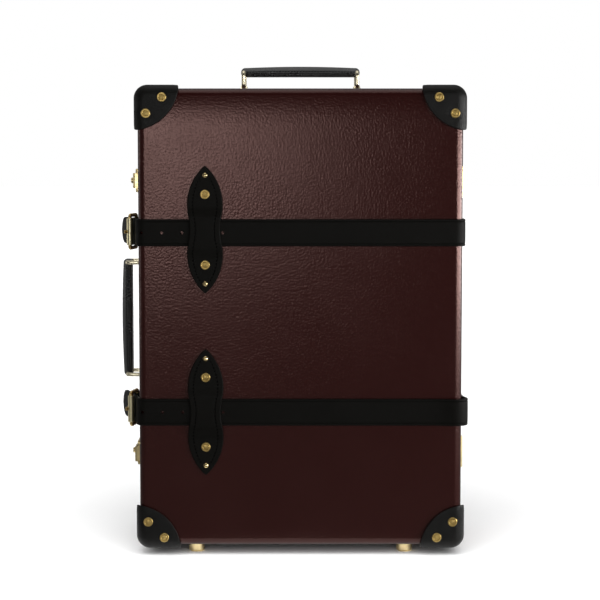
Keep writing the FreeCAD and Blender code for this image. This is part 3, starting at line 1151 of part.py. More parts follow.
piece("wheel_axles", together("wheel_axles", *axles))

doc.recompute()
failed = [item.Name for item in doc.Objects if "Invalid" in item.State or "Error" in item.State]
if failed:
    raise RuntimeError(f"failed objects: {failed}")
for label, item in pieces.items():
    if item.Shape.isNull() or not item.Shape.isValid() or not item.Shape.Solids:
        raise RuntimeError(f"{label} has no valid solid")

os.makedirs("parts", exist_ok=True)
for label, item in pieces.items():
    item.Shape.exportStep(f"parts/{label}.step")
print(f"{len(pieces)} sub-parts written")
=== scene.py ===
import json
import math

import bpy
import numpy as np
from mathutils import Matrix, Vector


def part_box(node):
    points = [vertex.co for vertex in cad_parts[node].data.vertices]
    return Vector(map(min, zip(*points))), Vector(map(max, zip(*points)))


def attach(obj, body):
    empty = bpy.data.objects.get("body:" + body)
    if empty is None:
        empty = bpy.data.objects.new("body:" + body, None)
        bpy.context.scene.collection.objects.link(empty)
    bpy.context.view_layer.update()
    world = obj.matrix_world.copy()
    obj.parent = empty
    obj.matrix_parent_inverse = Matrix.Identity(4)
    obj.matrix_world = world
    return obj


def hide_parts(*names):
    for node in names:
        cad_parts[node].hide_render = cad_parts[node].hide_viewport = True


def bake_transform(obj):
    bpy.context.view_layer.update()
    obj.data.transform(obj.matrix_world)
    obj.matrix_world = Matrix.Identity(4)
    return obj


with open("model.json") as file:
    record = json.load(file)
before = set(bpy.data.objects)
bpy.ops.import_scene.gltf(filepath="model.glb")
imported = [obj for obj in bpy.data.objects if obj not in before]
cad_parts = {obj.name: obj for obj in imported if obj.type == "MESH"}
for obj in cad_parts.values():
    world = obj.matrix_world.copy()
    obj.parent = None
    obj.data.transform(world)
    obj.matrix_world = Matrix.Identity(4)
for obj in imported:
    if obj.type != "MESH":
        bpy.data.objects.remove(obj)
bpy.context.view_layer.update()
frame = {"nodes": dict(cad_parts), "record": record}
nodes = frame["nodes"]
scene = bpy.context.scene
mm = 0.001
print("frame loaded:", len(nodes), "nodes")

# the closed case, read from its two shells
lidLow, lidHigh = (np.array(corner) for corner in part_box("lid_shell"))
baseLow, baseHigh = (np.array(corner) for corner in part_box("base_shell"))
caseLow = np.minimum(lidLow, baseLow)
caseHigh = np.maximum(lidHigh, baseHigh)
caseMiddle = (caseLow + caseHigh) / 2
caseHalf = (caseHigh - caseLow) / 2
left, right, front, back = caseLow[0], caseHigh[0], caseLow[1], caseHigh[1]
seamY = (lidHigh[1] + baseLow[1]) / 2
caseRound = {"corner": 11 * mm, "edge": 8 * mm}


def roundMeet(first, second):
    # distance from two crossing sides, round where both are passed
    return np.hypot(np.maximum(first, 0), np.maximum(second, 0)) + np.minimum(np.maximum(first, second), 0)


def caseDistance(points):
    # outline: distance to a rectangle with round corners in XZ. Then the same again between that distance and
    # the depth, which rolls the face edges off
    corner, edge = caseRound["corner"], caseRound["edge"]
    across, deep, up = np.moveaxis(np.abs(points - caseMiddle) - caseHalf, -1, 0)
    outline = roundMeet(across + corner, up + corner) - corner + edge
    return roundMeet(outline, deep + edge) - edge


def halve(low, high, steps, isInside):
    # halves each interval until it closes on the place where the inside ends
    for _ in range(steps):
        middle = (low + high) / 2
        inside = isInside(middle)
        low, high = np.where(inside, middle, low), np.where(inside, high, middle)
    return low


def castToCase(origin, rays, lift):
    # where each ray from a point inside leaves the case grown by lift
    start = np.zeros(rays.shape[:-1])
    far = halve(start, start + 0.2, 36, lambda way: caseDistance(origin + rays * way[..., None]) < lift)
    return origin + rays * far[..., None]


# helpers for meshes


def unit(vectors):
    return vectors / np.linalg.norm(vectors, axis=-1, keepdims=True)


def smoothStep(low, high, value):
    share = np.clip((value - low) / (high - low), 0, 1)
    return share * share * (3 - 2 * share)


def fullTurn(count):
    return np.linspace(0, 2 * np.pi, count, endpoint=False)


def runLength(path):
    return np.concatenate([[0], np.cumsum(np.linalg.norm(np.diff(path, axis=0), axis=1))])


def gridFaces(rows, cols):
    # quads of a grid whose columns close into a ring
    row = np.arange(rows - 1)[:, None]
    col = np.arange(cols)[None, :]
    after = (col + 1) % cols
    corners = (row * cols + col, row * cols + after, (row + 1) * cols + after, (row + 1) * cols + col)
    return np.stack(np.broadcast_arrays(*corners), -1).reshape(-1, 4)


def tubeFaces(points):
    # points stand in rings, rings in rows and rows in any number of copies. Each copy gets a cap at each end
    rows, cols = points.shape[-3:-1]
    shift = np.arange(points.size // (rows * cols * 3))[:, None, None] * rows * cols
    sides = (gridFaces(rows, cols)[None] + shift).reshape(-1, 4)
    caps = np.stack([np.arange(cols)[::-1], np.arange(cols) + (rows - 1) * cols])
    return sides.tolist() + (caps[None] + shift).reshape(-1, cols).tolist()


def linkMesh(name, points, faces):
    mesh = bpy.data.meshes.new(name)
    mesh.from_pydata(np.asarray(points).reshape(-1, 3).tolist(), [], faces)
    thing = bpy.data.objects.new(name, mesh)
    scene.collection.objects.link(thing)
    return thing


def linkSolid(name, points):
    # a closed tube, turned outwards where the sum of its signed volumes is negative
    thing = linkMesh(name, points, tubeFaces(points))
    mesh = thing.data
    mesh.calc_loop_triangles()
    corners = np.zeros(len(mesh.loop_triangles) * 3, np.int32)
    mesh.loop_triangles.foreach_get("vertices", corners)
    spots = np.zeros(len(mesh.vertices) * 3, np.float32)
    mesh.vertices.foreach_get("co", spots)
    first, second, third = spots.reshape(-1, 3)[corners.reshape(-1, 3)].transpose(1, 0, 2)
    if np.einsum("ij,ij->i", first, np.cross(second, third)).sum() < 0:
        mesh.flip_normals()
    return thing


def smoothMesh(mesh, sharp):
    mesh.shade_smooth()
    mesh.set_sharp_from_angle(angle=math.radians(sharp))


def makePiece(name, points, material, sharp=38):
    piece = linkSolid(name, points)
    piece.data.materials.append(material)
    smoothMesh(piece.data, sharp)
    return piece


def cutAway(piece, points, sharp=38):
    # takes closed solids out of a piece and keeps the result as its mesh
    cutter = linkSolid("cutter", points)
    step = piece.modifiers.new("cut", "BOOLEAN")
    step.operation = "DIFFERENCE"
    step.solver = "EXACT"
    step.object = cutter
    bpy.context.view_layer.update()
    result = bpy.data.meshes.new_from_object(piece.evaluated_get(bpy.context.evaluated_depsgraph_get()))
    piece.modifiers.clear()
    piece.data = result
    smoothMesh(result, sharp)
    bpy.data.objects.remove(cutter)


# helpers for shaders


def putValue(tree, value, socket):
    # a number or a colour is set, an output is linked
    if isinstance(value, (int, float)):
        socket.default_value = value
    elif isinstance(value, tuple):
        socket.default_value = (*value, 1)
    else:
        tree.links.new(value, socket)


def setSockets(inputs, values):
    for label, value in values.items():
        inputs[label.replace("_", " ")].default_value = value


def mathNode(tree, kind, *values):
    node = tree.nodes.new("ShaderNodeMath")
    node.operation = kind
    for value, socket in zip(values, node.inputs):
        putValue(tree, value, socket)
    return node.outputs[0]


def vectorNode(tree, kind, first, second):
    node = tree.nodes.new("ShaderNodeVectorMath")
    node.operation = kind
    tree.links.new(first, node.inputs[0])
    tree.links.new(second, node.inputs["Scale" if kind == "SCALE" else 1])
    return node.outputs[0]


def splitNode(tree, vector):
    node = tree.nodes.new("ShaderNodeSeparateXYZ")
    tree.links.new(vector, node.inputs[0])
    return node.outputs


def noiseNode(tree, vector, scale, detail=2.0, rough=0.5, warp=0.0):
    node = tree.nodes.new("ShaderNodeTexNoise")
    for label, value in (("Vector", vector), ("Scale", scale), ("Detail", detail), ("Roughness", rough),
                         ("Distortion", warp)):
        putValue(tree, value, node.inputs[label])
    return node.outputs


def rangeNode(tree, value, toLow, toHigh, fromLow=0.0, fromHigh=1.0, kind="LINEAR"):
    node = tree.nodes.new("ShaderNodeMapRange")
    node.interpolation_type = kind
    for label, number in (("Value", value), ("From Min", fromLow), ("From Max", fromHigh), ("To Min", toLow),
                          ("To Max", toHigh)):
        putValue(tree, number, node.inputs[label])
    return node.outputs["Result"]


def rampNode(tree, value, low, high):
    return rangeNode(tree, value, 0.0, 1.0, low, high, "SMOOTHSTEP")


def mixColour(tree, share, first, second):
    node = tree.nodes.new("ShaderNodeMix")
    node.data_type = "RGBA"
    for value, socket in ((share, 0), (first, 6), (second, 7)):   # the sockets of the colour kind
        putValue(tree, value, node.inputs[socket])
    return node.outputs[2]


def stretchVector(tree, place, scale):
    mapping = tree.nodes.new("ShaderNodeMapping")
    mapping.inputs["Scale"].default_value = scale
    tree.links.new(place, mapping.inputs["Vector"])
    return mapping.outputs["Vector"]


# shader groups that several materials share


def newGroup(name, inputs, outputs):
    # an input is a number if its first value is one, and a vector otherwise. Outputs are numbers
    group = bpy.data.node_groups.new(name, "ShaderNodeTree")
    for label, value in inputs.items():
        kind = "NodeSocketFloat" if isinstance(value, float) else "NodeSocketVector"
        socket = group.interface.new_socket(label, in_out="INPUT", socket_type=kind)
        if value is not None:
            socket.default_value = value
    for label in outputs:
        group.interface.new_socket(label, in_out="OUTPUT", socket_type="NodeSocketFloat")
    return group, group.nodes.new("NodeGroupInput").outputs, group.nodes.new("NodeGroupOutput").inputs


def makePebble():
    # raised cells of warped, uneven pebbles: the distance to the cells' edges, roughened by a finer noise
    group, source, target = newGroup("pebbleGrain", {"Vector": None, "Density": 400.0, "Warp": 0.5, "Fine": 0.25},
                                     ("Height", "Tone"))
    scaled = vectorNode(group, "SCALE", source["Vector"], source["Density"])
    spread = vectorNode(group, "SCALE", noiseNode(group, scaled, 0.7)["Color"], source["Warp"])
    cells = group.nodes.new("ShaderNodeTexVoronoi")
    cells.feature = "DISTANCE_TO_EDGE"
    cells.inputs["Scale"].default_value = 1.0
    group.links.new(vectorNode(group, "ADD", scaled, spread), cells.inputs["Vector"])
    raised = rampNode(group, cells.outputs["Distance"], 0.0, 0.32)
    fine = noiseNode(group, scaled, 2.6, 3.0, 0.6)["Fac"]
    share = mathNode(group, "MULTIPLY", fine, source["Fine"])
    group.links.new(mathNode(group, "ADD", raised, share), target["Height"])
    group.links.new(fine, target["Tone"])
    return group


def makeAgeing():
    # broad clouds of handling marks and a finer speckle of dust, both as masks
    group, source, target = newGroup("ageing", {"Vector": None, "Cloud Density": 12.0, "Speckle Density": 160.0},
                                     ("Clouds", "Speckle"))
    clouds = noiseNode(group, source["Vector"], source["Cloud Density"], 4.0, 0.6)["Fac"]
    group.links.new(rampNode(group, clouds, 0.38, 0.68), target["Clouds"])
    speckle = noiseNode(group, source["Vector"], source["Speckle Density"], 2.0, 0.7)["Fac"]
    group.links.new(rampNode(group, speckle, 0.6, 0.78), target["Speckle"])
    return group


def makeBrushed():
    # noise drawn out along one axis: brushing lines, as a height and a mask
    group, source, target = newGroup("brushed", {"Vector": None, "Stretch": (40.0, 40.0, 900.0)}, ("Height", "Mask"))
    drawn = vectorNode(group, "MULTIPLY", source["Vector"], source["Stretch"])
    lines = noiseNode(group, drawn, 1.0, 3.0, 0.65)["Fac"]
    group.links.new(lines, target["Height"])
    group.links.new(rampNode(group, lines, 0.4, 0.65), target["Mask"])
    return group


pebbleGroup, ageingGroup, brushedGroup = makePebble(), makeAgeing(), makeBrushed()


def placeGroup(tree, group, vector, **values):
    node = tree.nodes.new("ShaderNodeGroup")
    node.node_tree = group
    tree.links.new(vector, node.inputs["Vector"])
    setSockets(node.inputs, values)
    return node.outputs


def newMaterial(name, **values):
    material = bpy.data.materials.new(name)
    material.use_nodes = True
    tree = material.node_tree
    shader = tree.nodes["Principled BSDF"].inputs
    setSockets(shader, values)
    return material, tree, shader, tree.nodes.new("ShaderNodeTexCoord").outputs["Object"]


def addBump(tree, shader, height, distance, strength):
    bump = tree.nodes.new("ShaderNodeBump")
    setSockets(bump.inputs, {"Distance": distance, "Strength": strength})
    tree.links.new(height, bump.inputs["Height"])
    tree.links.new(bump.outputs["Normal"], shader["Normal"])


# one material for each finish

fibreLook = {"deep": (0.0138, 0.0021, 0.0019), "warm": (0.0206, 0.0037, 0.0034), "dust": (0.032, 0.015, 0.013),
             "gloss": (1.0, 0.62, 0.56, 1), "grain": 430.0, "stretch": (1.1, 1.0, 0.95), "bump": 0.255 * mm,
             "rough": (0.21, 0.24), "clouds": 9.0, "speckle": 240.0, "cloudShare": 0.22, "dustShare": 0.10,
             "crownX": 0.5 * mm, "crownTop": 3.7 * mm, "crownReach": 60 * mm}


def crownHeight(tree, place):
    # the pressed panels roll off a little towards the sides and top: the cube of the share of the reach left
    split = splitNode(tree, place)
    away = mathNode(tree, "ABSOLUTE", mathNode(tree, "SUBTRACT", split["X"], float(caseMiddle[0])))
    insets = {"crownX": mathNode(tree, "SUBTRACT", float(caseHalf[0]), away),
              "crownTop": mathNode(tree, "SUBTRACT", float(caseHigh[2]), split["Z"])}
    heights = []
    for label, inset in insets.items():
        share = rangeNode(tree, inset, 1.0, 0.0, 0.0, fibreLook["crownReach"])
        heights.append(mathNode(tree, "MULTIPLY", mathNode(tree, "POWER", share, 3.0), -fibreLook[label]))
    return mathNode(tree, "ADD", *heights)


def fibreMaterial():
    look = fibreLook
    material, tree, shader, place = newMaterial("oxbloodFibre", IOR=1.5, Specular_IOR_Level=0.5,
                                                Specular_Tint=look["gloss"])
    grain = noiseNode(tree, stretchVector(tree, place, look["stretch"]), look["grain"], 1.5, 0.5, 0.1)["Fac"]
    age = placeGroup(tree, ageingGroup, place, Cloud_Density=look["clouds"], Speckle_Density=look["speckle"])
    colour = mixColour(tree, grain, look["deep"], look["warm"])
    colour = mixColour(tree, mathNode(tree, "MULTIPLY", age["Clouds"], look["cloudShare"]), colour, look["warm"])
    dust = mathNode(tree, "MULTIPLY", age["Speckle"], look["dustShare"])
    tree.links.new(mixColour(tree, dust, colour, look["dust"]), shader["Base Color"])
    tree.links.new(rangeNode(tree, age["Clouds"], *look["rough"]), shader["Roughness"])
    addBump(tree, shader, mathNode(tree, "MULTIPLY_ADD", grain, look["bump"], crownHeight(tree, place)), 1.0, 1.0)
    return material


def leatherMaterial(name, dark, light, grain, bump, rough, gloss):
    material, tree, shader, place = newMaterial(name, IOR=1.48, Specular_IOR_Level=gloss)
    pebble = placeGroup(tree, pebbleGroup, place, Density=grain, Warp=0.8, Fine=0.35)
    age = placeGroup(tree, ageingGroup, place, Cloud_Density=28.0, Speckle_Density=420.0)
    rub = mathNode(tree, "MULTIPLY", age["Clouds"], 0.35)
    colour = mixColour(tree, rub, mixColour(tree, pebble["Tone"], dark, light), light)
    tree.links.new(colour, shader["Base Color"])
    tree.links.new(rangeNode(tree, age["Clouds"], *rough), shader["Roughness"])
    addBump(tree, shader, pebble["Height"], bump, 0.5)
    return material


def metalMaterial(name, bright, dull, rough, brushing, tarnish):
    material, tree, shader, place = newMaterial(name, Metallic=1.0)
    lines = placeGroup(tree, brushedGroup, place, Stretch=brushing)
    age = placeGroup(tree, ageingGroup, place, Cloud_Density=240.0, Speckle_Density=900.0)
    share = mathNode(tree, "MULTIPLY", age["Clouds"], tarnish)
    tree.links.new(mixColour(tree, share, bright, dull), shader["Base Color"])
    spread = mathNode(tree, "MULTIPLY_ADD", lines["Mask"], 0.10, rough)
    tree.links.new(mathNode(tree, "MULTIPLY_ADD", age["Speckle"], 0.12, spread), shader["Roughness"])
    addBump(tree, shader, lines["Height"], 0.04 * mm, 0.25)
    return material


def plasticMaterial(name, dark, light, grain, bump, rough):
    material, tree, shader, place = newMaterial(name, IOR=1.46)
    pebble = placeGroup(tree, pebbleGroup, place, Density=grain, Warp=0.4, Fine=0.4)
    age = placeGroup(tree, ageingGroup, place, Cloud_Density=20.0, Speckle_Density=300.0)
    tree.links.new(mixColour(tree, age["Clouds"], dark, light), shader["Base Color"])
    tree.links.new(mathNode(tree, "MULTIPLY_ADD", age["Speckle"], 0.14, rough), shader["Roughness"])
    addBump(tree, shader, pebble["Height"], bump, 0.35)
    return material


woodLook = {"dark": (0.165, 0.082, 0.034), "light": (0.30, 0.165, 0.075), "pore": (0.07, 0.032, 0.014),
            "bands": (9.0, 130.0, 9.0), "pores": (90.0, 1500.0, 90.0), "bump": 0.1 * mm}


def woodMaterial():
    # growth rings as bands of drawn-out noise, with fine pores drawn out along the grain
    look = woodLook
    material, tree, shader, place = newMaterial("frameWood", IOR=1.45)
    bands = noiseNode(tree, stretchVector(tree, place, look["bands"]), 1.0, 3.0, 0.55)["Fac"]
    pores = noiseNode(tree, stretchVector(tree, place, look["pores"]), 1.0, 2.0, 0.6)["Fac"]
    share = rampNode(tree, bands, 0.3, 0.7)
    poreShare = mathNode(tree, "MULTIPLY", rampNode(tree, pores, 0.55, 0.7), 0.45)
    colour = mixColour(tree, poreShare, mixColour(tree, share, look["dark"], look["light"]), look["pore"])
    tree.links.new(colour, shader["Base Color"])
    tree.links.new(mathNode(tree, "MULTIPLY_ADD", share, 0.12, 0.34), shader["Roughness"])
    addBump(tree, shader, pores, look["bump"], 0.3)
    return material


clothLook = {"dark": (0.26, 0.20, 0.135), "light": (0.40, 0.32, 0.225), "shade": (0.30, 0.23, 0.155),
             "thread": 1.6 * mm, "uneven": 90.0, "bump": 0.25 * mm}


def clothMaterial():
    # plain weave: the product of two crossed waves, which lie over and under each other by turns
    look = clothLook
    material, tree, shader, place = newMaterial("liningCloth", Sheen_Weight=0.25, Sheen_Roughness=0.5)
    split = splitNode(tree, place)
    slant = mathNode(tree, "MULTIPLY", split["Y"], 0.7)
    waves = []
    for axis in ("X", "Z"):
        turns = mathNode(tree, "MULTIPLY", mathNode(tree, "ADD", split[axis], slant), 2 * math.pi / look["thread"])
        waves.append(mathNode(tree, "SINE", turns))
    weave = mathNode(tree, "MULTIPLY", *waves)
    uneven = noiseNode(tree, place, look["uneven"], 3.0, 0.6)["Fac"]
    # the colour follows the weave's height, lighter on the raised threads and darker where they sink: painted shade
    # between the threads
    colour = mixColour(tree, rampNode(tree, weave, -0.8, 0.8), look["dark"], look["light"])
    colour = mixColour(tree, mathNode(tree, "MULTIPLY", uneven, 0.4), colour, look["shade"])
    tree.links.new(colour, shader["Base Color"])
    tree.links.new(mathNode(tree, "MULTIPLY_ADD", uneven, 0.2, 0.7), shader["Roughness"])
    addBump(tree, shader, weave, look["bump"], 0.5)
    return material


looks = {
    "fibre": fibreMaterial(),
    "frame_wood": woodMaterial(),
    "lining_cloth": clothMaterial(),
    "corner_leather": leatherMaterial("cornerLeather", dark=(0.0027, 0.0025, 0.0021), light=(0.0048, 0.0044, 0.0037),
                                      grain=900.0, bump=0.18 * mm, rough=(0.36, 0.46), gloss=0.18),
    "strap_leather": leatherMaterial("strapLeather", dark=(0.0027, 0.0025, 0.0020), light=(0.0048, 0.0044, 0.0036),
                                     grain=1100.0, bump=0.15 * mm, rough=(0.40, 0.50), gloss=0.06),
    "handle_leather": leatherMaterial("handleLeather", dark=(0.0030, 0.0029, 0.0027), light=(0.0056, 0.0053, 0.0050),
                                      grain=1100.0, bump=0.14 * mm, rough=(0.26, 0.36), gloss=0.95),
    "rivet_brass": metalMaterial("rivetBrass", bright=(0.52, 0.37, 0.13), dull=(0.36, 0.24, 0.07), rough=0.40,
                                 brushing=(300.0, 300.0, 300.0), tarnish=0.4),
    "buckle_brass": metalMaterial("buckleBrass", bright=(0.84, 0.62, 0.27), dull=(0.56, 0.34, 0.11), rough=0.28,
                                  brushing=(60.0, 60.0, 700.0), tarnish=0.35),
    "handle_brass": metalMaterial("handleBrass", bright=(0.94, 0.85, 0.62), dull=(0.78, 0.62, 0.36), rough=0.24,
                                  brushing=(30.0, 30.0, 30.0), tarnish=0.1),
    "lock_brass": metalMaterial("lockBrass", bright=(0.86, 0.70, 0.38), dull=(0.60, 0.42, 0.18), rough=0.28,
                                brushing=(60.0, 60.0, 900.0), tarnish=0.3),
    "steel": metalMaterial("wheelSteel", bright=(0.62, 0.62, 0.63), dull=(0.40, 0.40, 0.41), rough=0.24,
                           brushing=(900.0, 60.0, 60.0), tarnish=0.3),
    "tube_aluminium": metalMaterial("tubeAluminium", bright=(0.78, 0.79, 0.80), dull=(0.60, 0.61, 0.62), rough=0.26,
                                    brushing=(900.0, 900.0, 30.0), tarnish=0.25),
    "black_plastic": plasticMaterial("blackPlastic", dark=(0.012, 0.012, 0.013), light=(0.020, 0.020, 0.021),
                                     grain=1500.0, bump=0.1 * mm, rough=0.42),
    "button_plastic": plasticMaterial("buttonPlastic", dark=(0.10, 0.10, 0.105), light=(0.13, 0.13, 0.135),
                                      grain=1500.0, bump=0.1 * mm, rough=0.36),
    "hub_plastic": plasticMaterial("hubPlastic", dark=(0.045, 0.045, 0.047), light=(0.065, 0.065, 0.068),
                                   grain=1200.0, bump=0.1 * mm, rough=0.4),
    "tyre": plasticMaterial("tyreRubber", dark=(0.010, 0.010, 0.010), light=(0.022, 0.021, 0.020),
                            grain=700.0, bump=0.2 * mm, rough=0.62),
}
threadLook = leatherMaterial("waxedThread", dark=(0.0006, 0.0006, 0.0005), light=(0.0014, 0.0013, 0.0012),
                             grain=2600.0, bump=0.1 * mm, rough=(0.6, 0.7), gloss=0.02)
nailLook = metalMaterial("nailBrass", bright=(0.82, 0.64, 0.32), dull=(0.52, 0.36, 0.13), rough=0.13,
                         brushing=(300.0, 300.0, 300.0), tarnish=0.2)
# the buckle rollers get a paler, brighter copy of the buckle brass: a painted highlight that stands in for light from
# the left front
rollerPaintedHighlightLook = metalMaterial("rollerBrassPaintedHighlight", bright=(0.95, 0.86, 0.55), dull=(0.84, 0.66, 0.32), rough=0.34,
                           brushing=(40.0, 40.0, 40.0), tarnish=0.15)
ownLooks = {"keeper_nails": nailLook, "buckle_upper_roller": rollerPaintedHighlightLook, "buckle_lower_roller": rollerPaintedHighlightLook}

for part in frame["record"]["subparts"]:
    mesh = nodes[part["node"]].data
    mesh.materials.clear()
    mesh.materials.append(ownLooks.get(part["node"], looks[part["material_slot"]]))
print("materials on CAD nodes:", len(looks))

# leather corners

cornerShape = {"proud": 3.8 * mm, "seat": 0.15 * mm, "reach": 46 * mm, "ballOut": 7.5 * mm, "focus": 30 * mm,
               "spokes": 120, "rings": 30, "backRings": 10, "puff": 0.3 * mm, "puffFrom": 6 * mm, "puffTo": 11 * mm,
               "rivetNear": 9.8 * mm, "rivetFar": 27.5 * mm}


def cornerCap(signs):
    # rays fan out from a point inside the corner. Polar angle runs from the corner's tip to where the case's
    # grown surface meets a ball about the corner, and the last rings roll over the cut edge and back inside
    c = cornerShape
    signs = np.array(signs, float)
    tip = caseMiddle + signs * caseHalf
    focus = tip - signs * c["focus"]
    axis = unit(signs)
    first = unit(np.cross(axis, [0.0, 0.0, 1.0]))
    second = np.cross(axis, first)
    turn = fullTurn(c["spokes"])
    fan = np.cos(turn)[:, None] * first + np.sin(turn)[:, None] * second
    ball = tip + signs * c["ballOut"]
    ballSize = math.hypot(c["reach"] + c["ballOut"], math.sqrt(2) * c["ballOut"])

    def rays(angle):
        return np.cos(angle)[..., None] * axis + np.sin(angle)[..., None] * fan

    def inBall(angle):
        return np.linalg.norm(castToCase(focus, rays(angle), c["proud"]) - ball, axis=-1) < ballSize

    rim = halve(0 * turn + 0.2, 0 * turn + 2.5, 30, inBall)
    share = np.concatenate([np.linspace(0.02, 0.97, c["rings"]), [0.985, 0.994, 0.999, 1.0, 1.0, 0.998],
                            np.linspace(0.96, 0.04, c["backRings"])])
    edge = np.array([-0.05, -0.25, -0.6, -1.1, -2.6, -3.5]) * mm + c["proud"]
    lift = np.concatenate([np.full(c["rings"], c["proud"]), edge, np.full(c["backRings"], c["seat"])])
    direction = rays(share[:, None] * rim)
    spots = castToCase(focus, direction, np.broadcast_to(lift[:, None], direction.shape[:2]))
    # the leather swells a little between its rivets
    near, far = c["rivetNear"], c["rivetFar"]
    rivets = tip - signs * np.array([[near, 0, far], [far, 0, near]])
    gap = np.min(np.linalg.norm(spots[:, :, None] - rivets, axis=-1), axis=-1)
    swell = c["puff"] * smoothStep(c["puffFrom"], c["puffTo"], gap) * smoothStep(1.0, 0.86, share)[:, None]
    swell[-c["backRings"]:] = 0
    return castToCase(focus, direction, lift[:, None] + swell)


for half, body, depthSign in (("lid", "lid", -1), ("base", "base", 1)):
    caps = np.stack([cornerCap((x, depthSign, z)) for x in (-1, 1) for z in (-1, 1)])
    piece = makePiece(f"{half}CornerCaps", caps, looks["corner_leather"], 60)
    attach(piece, body)
    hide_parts(f"{half}_corner_caps")
print("corner caps made")

# each belt is one strap round the case, folded over the buckle's heel bar, and a loose tail through the buckle

beltShape = {"wall": 3 * mm, "gap": 0.2 * mm, "edge": 0.9 * mm, "foot": 0.4 * mm, "crown": 0.15 * mm,
             "crease": 2.7 * mm, "creaseDeep": 0.42 * mm, "creaseWide": 0.38 * mm, "frontEnd": 12.5 * mm,
             "heelBack": 52 * mm, "heelOut": 6.2 * mm, "heelRise": 16 * mm, "foldRound": 4.9 * mm, "foldShare": 0.8,
             "flapLength": 24 * mm, "flapSlope": 19 * mm, "flapLift": 0.1 * mm, "thinFrom": 22 * mm,
             "thinOver": 20 * mm, "holes": 5, "hole": 1.75 * mm, "holeInset": 4 * mm, "holePitch": 22.5 * mm,
             "notchHalf": 2.8 * mm, "notchFront": 8 * mm, "notchBack": 11 * mm, "notchOut": 20 * mm,
             "notchSkin": 0.05 * mm, "step": 3 * mm}
flapSewing = {"rows": (16.5 * mm, 21 * mm), "count": 9, "clear": 1 * mm, "lift": 0.25 * mm, "stitch": 2.4 * mm,
              "thread": 0.45 * mm}
slackShape = {"upper": (0.0, 14 * mm), "lower": (4.6 * mm, 17 * mm)}   # height and half width of the loose bend
tailShape = {"angle": 17.26, "back": 15.03 * mm, "length": 77 * mm, "bend": 4 * mm, "rows": 70, "slotAt": 29.9 * mm,
             "slotHalf": 7 * mm, "slotBack": 13.5 * mm, "slotWide": 2.5 * mm, "slotOut": 40 * mm, "holeAt": 52.4 * mm}
heelX, heelY = left - beltShape["heelOut"], front + beltShape["heelBack"]


def strapRing(width):
    # across and out: a crowned face with a crease pressed near each edge, round edges and a flat back
    b = beltShape
    half, edge, foot, crease = width / 2, b["edge"], b["foot"], width / 2 - b["crease"]
    near = np.linspace(-0.9, 0.9, 7) * mm
    across = np.unique(np.round(np.concatenate([np.linspace(-1, 1, 13) * (half - edge), crease + near,
                                                -crease - near]), 7))
    out = (b["wall"] + b["crown"] * (1 - (across / half) ** 2)
           - b["creaseDeep"] * np.exp(-((np.abs(across) - crease) / b["creaseWide"]) ** 2))
    over, under = np.radians(np.linspace(75, 0, 5)), np.radians(np.linspace(0, -90, 3))
    edgeX = np.concatenate([half - edge + edge * np.cos(over), half - foot + foot * np.cos(under)])
    edgeY = np.concatenate([b["wall"] - edge + edge * np.sin(over), foot + foot * np.sin(under)])
    backX = np.linspace(half - foot, foot - half, 6)[1:-1]
    return np.stack([np.concatenate([across, edgeX, backX, -edgeX[::-1]]),
                     np.concatenate([out, edgeY, 0 * backX, edgeY[::-1]])], -1)


def run(start, end):
    count = max(3, int(math.dist(start, end) / beltShape["step"]))
    return np.linspace(start, end, count, endpoint=False)


def bend(x, y, size, start, end, count=12):
    turn = np.radians(np.linspace(start, end, count, endpoint=False))
    return np.stack([x + size * np.cos(turn), y + size * np.sin(turn)], -1)


def pathNormal(path):
    # the tangent turned clockwise
    tangent = unit(np.gradient(path, axis=0))
    return np.stack([tangent[:, 1], -tangent[:, 0]], -1)


def sweepStrap(path, width, thick, height, halfShare):
    # the ring's across runs up, its out along the path's normal
    ring = strapRing(width)
    flat = path[:, None] + pathNormal(path)[:, None] * (ring[None, :, 1] * thick[:, None])[..., None]
    up = height + ring[None, :, 0] * halfShare[:, None]
    return np.concatenate([flat, up[..., None]], -1)


def flapX(y, lift):
    # the flap comes down from the top of the fold until it lies on the strap
    b = beltShape
    lying = b["gap"] + b["wall"] * (1 + b["foldShare"]) + lift
    top = b["heelOut"] + b["foldRound"]
    return left - top + (top - lying) * smoothStep(0, b["flapSlope"], y - heelY)


def beltPath(slack):
    # left front edge, round the front, right and back to the left side, then round the heel bar and back
    b, gap, edge, fold = beltShape, beltShape["gap"], caseRound["edge"], beltShape["foldRound"]
    size = edge + gap
    approach = run((left - gap, back - edge), (left - gap, heelY))
    approach[:, 0] -= (b["heelOut"] - fold - gap) * smoothStep(heelY + b["heelRise"], heelY, approach[:, 1])
    flap = run((0, heelY), (0, heelY + b["flapLength"]))
    flap[:, 0] = flapX(flap[:, 1], b["flapLift"])
    path = np.concatenate([
        run((left - gap, front + b["frontEnd"]), (left - gap, front + edge)),
        bend(left + edge, front + edge, size, 180, 270),
        run((left + edge, front - gap), (right - edge, front - gap)),
        bend(right - edge, front + edge, size, 270, 360),
        run((right + gap, front + edge), (right + gap, back - edge)),
        bend(right - edge, back - edge, size, 0, 90),
        run((right - edge, back + gap), (left + edge, back + gap)),
        bend(left + edge, back - edge, size, 90, 180),
        approach, bend(heelX, heelY, fold, 0, -180, 16), flap])
    # the belt stands loose round the right front corner, and is pared thin towards the fold
    height, half = slack
    length = runLength(path)
    corner = length[np.argmin(np.linalg.norm(path - [right, front], axis=1))]
    path = path + pathNormal(path) * (height * np.exp(-((length - corner) / half) ** 2))[:, None]
    folded = b["flapLength"] + np.pi * fold + b["thinFrom"]
    return path, 1 - (1 - b["foldShare"]) * smoothStep(0, b["thinOver"], length - length[-1] + folded)


def roundCutters(spots, radius, reach, axis, sides=20):
    # drums along one axis about spots, as cutters
    turn = fullTurn(sides)
    drum = np.roll(np.stack([0 * turn, np.cos(turn) * radius, np.sin(turn) * radius], -1), axis, -1)
    ends = np.roll(np.array([[-reach, 0, 0], [reach, 0, 0]]), axis, -1)
    return spots[:, None, None] + ends[None, :, None] + drum[None, None]


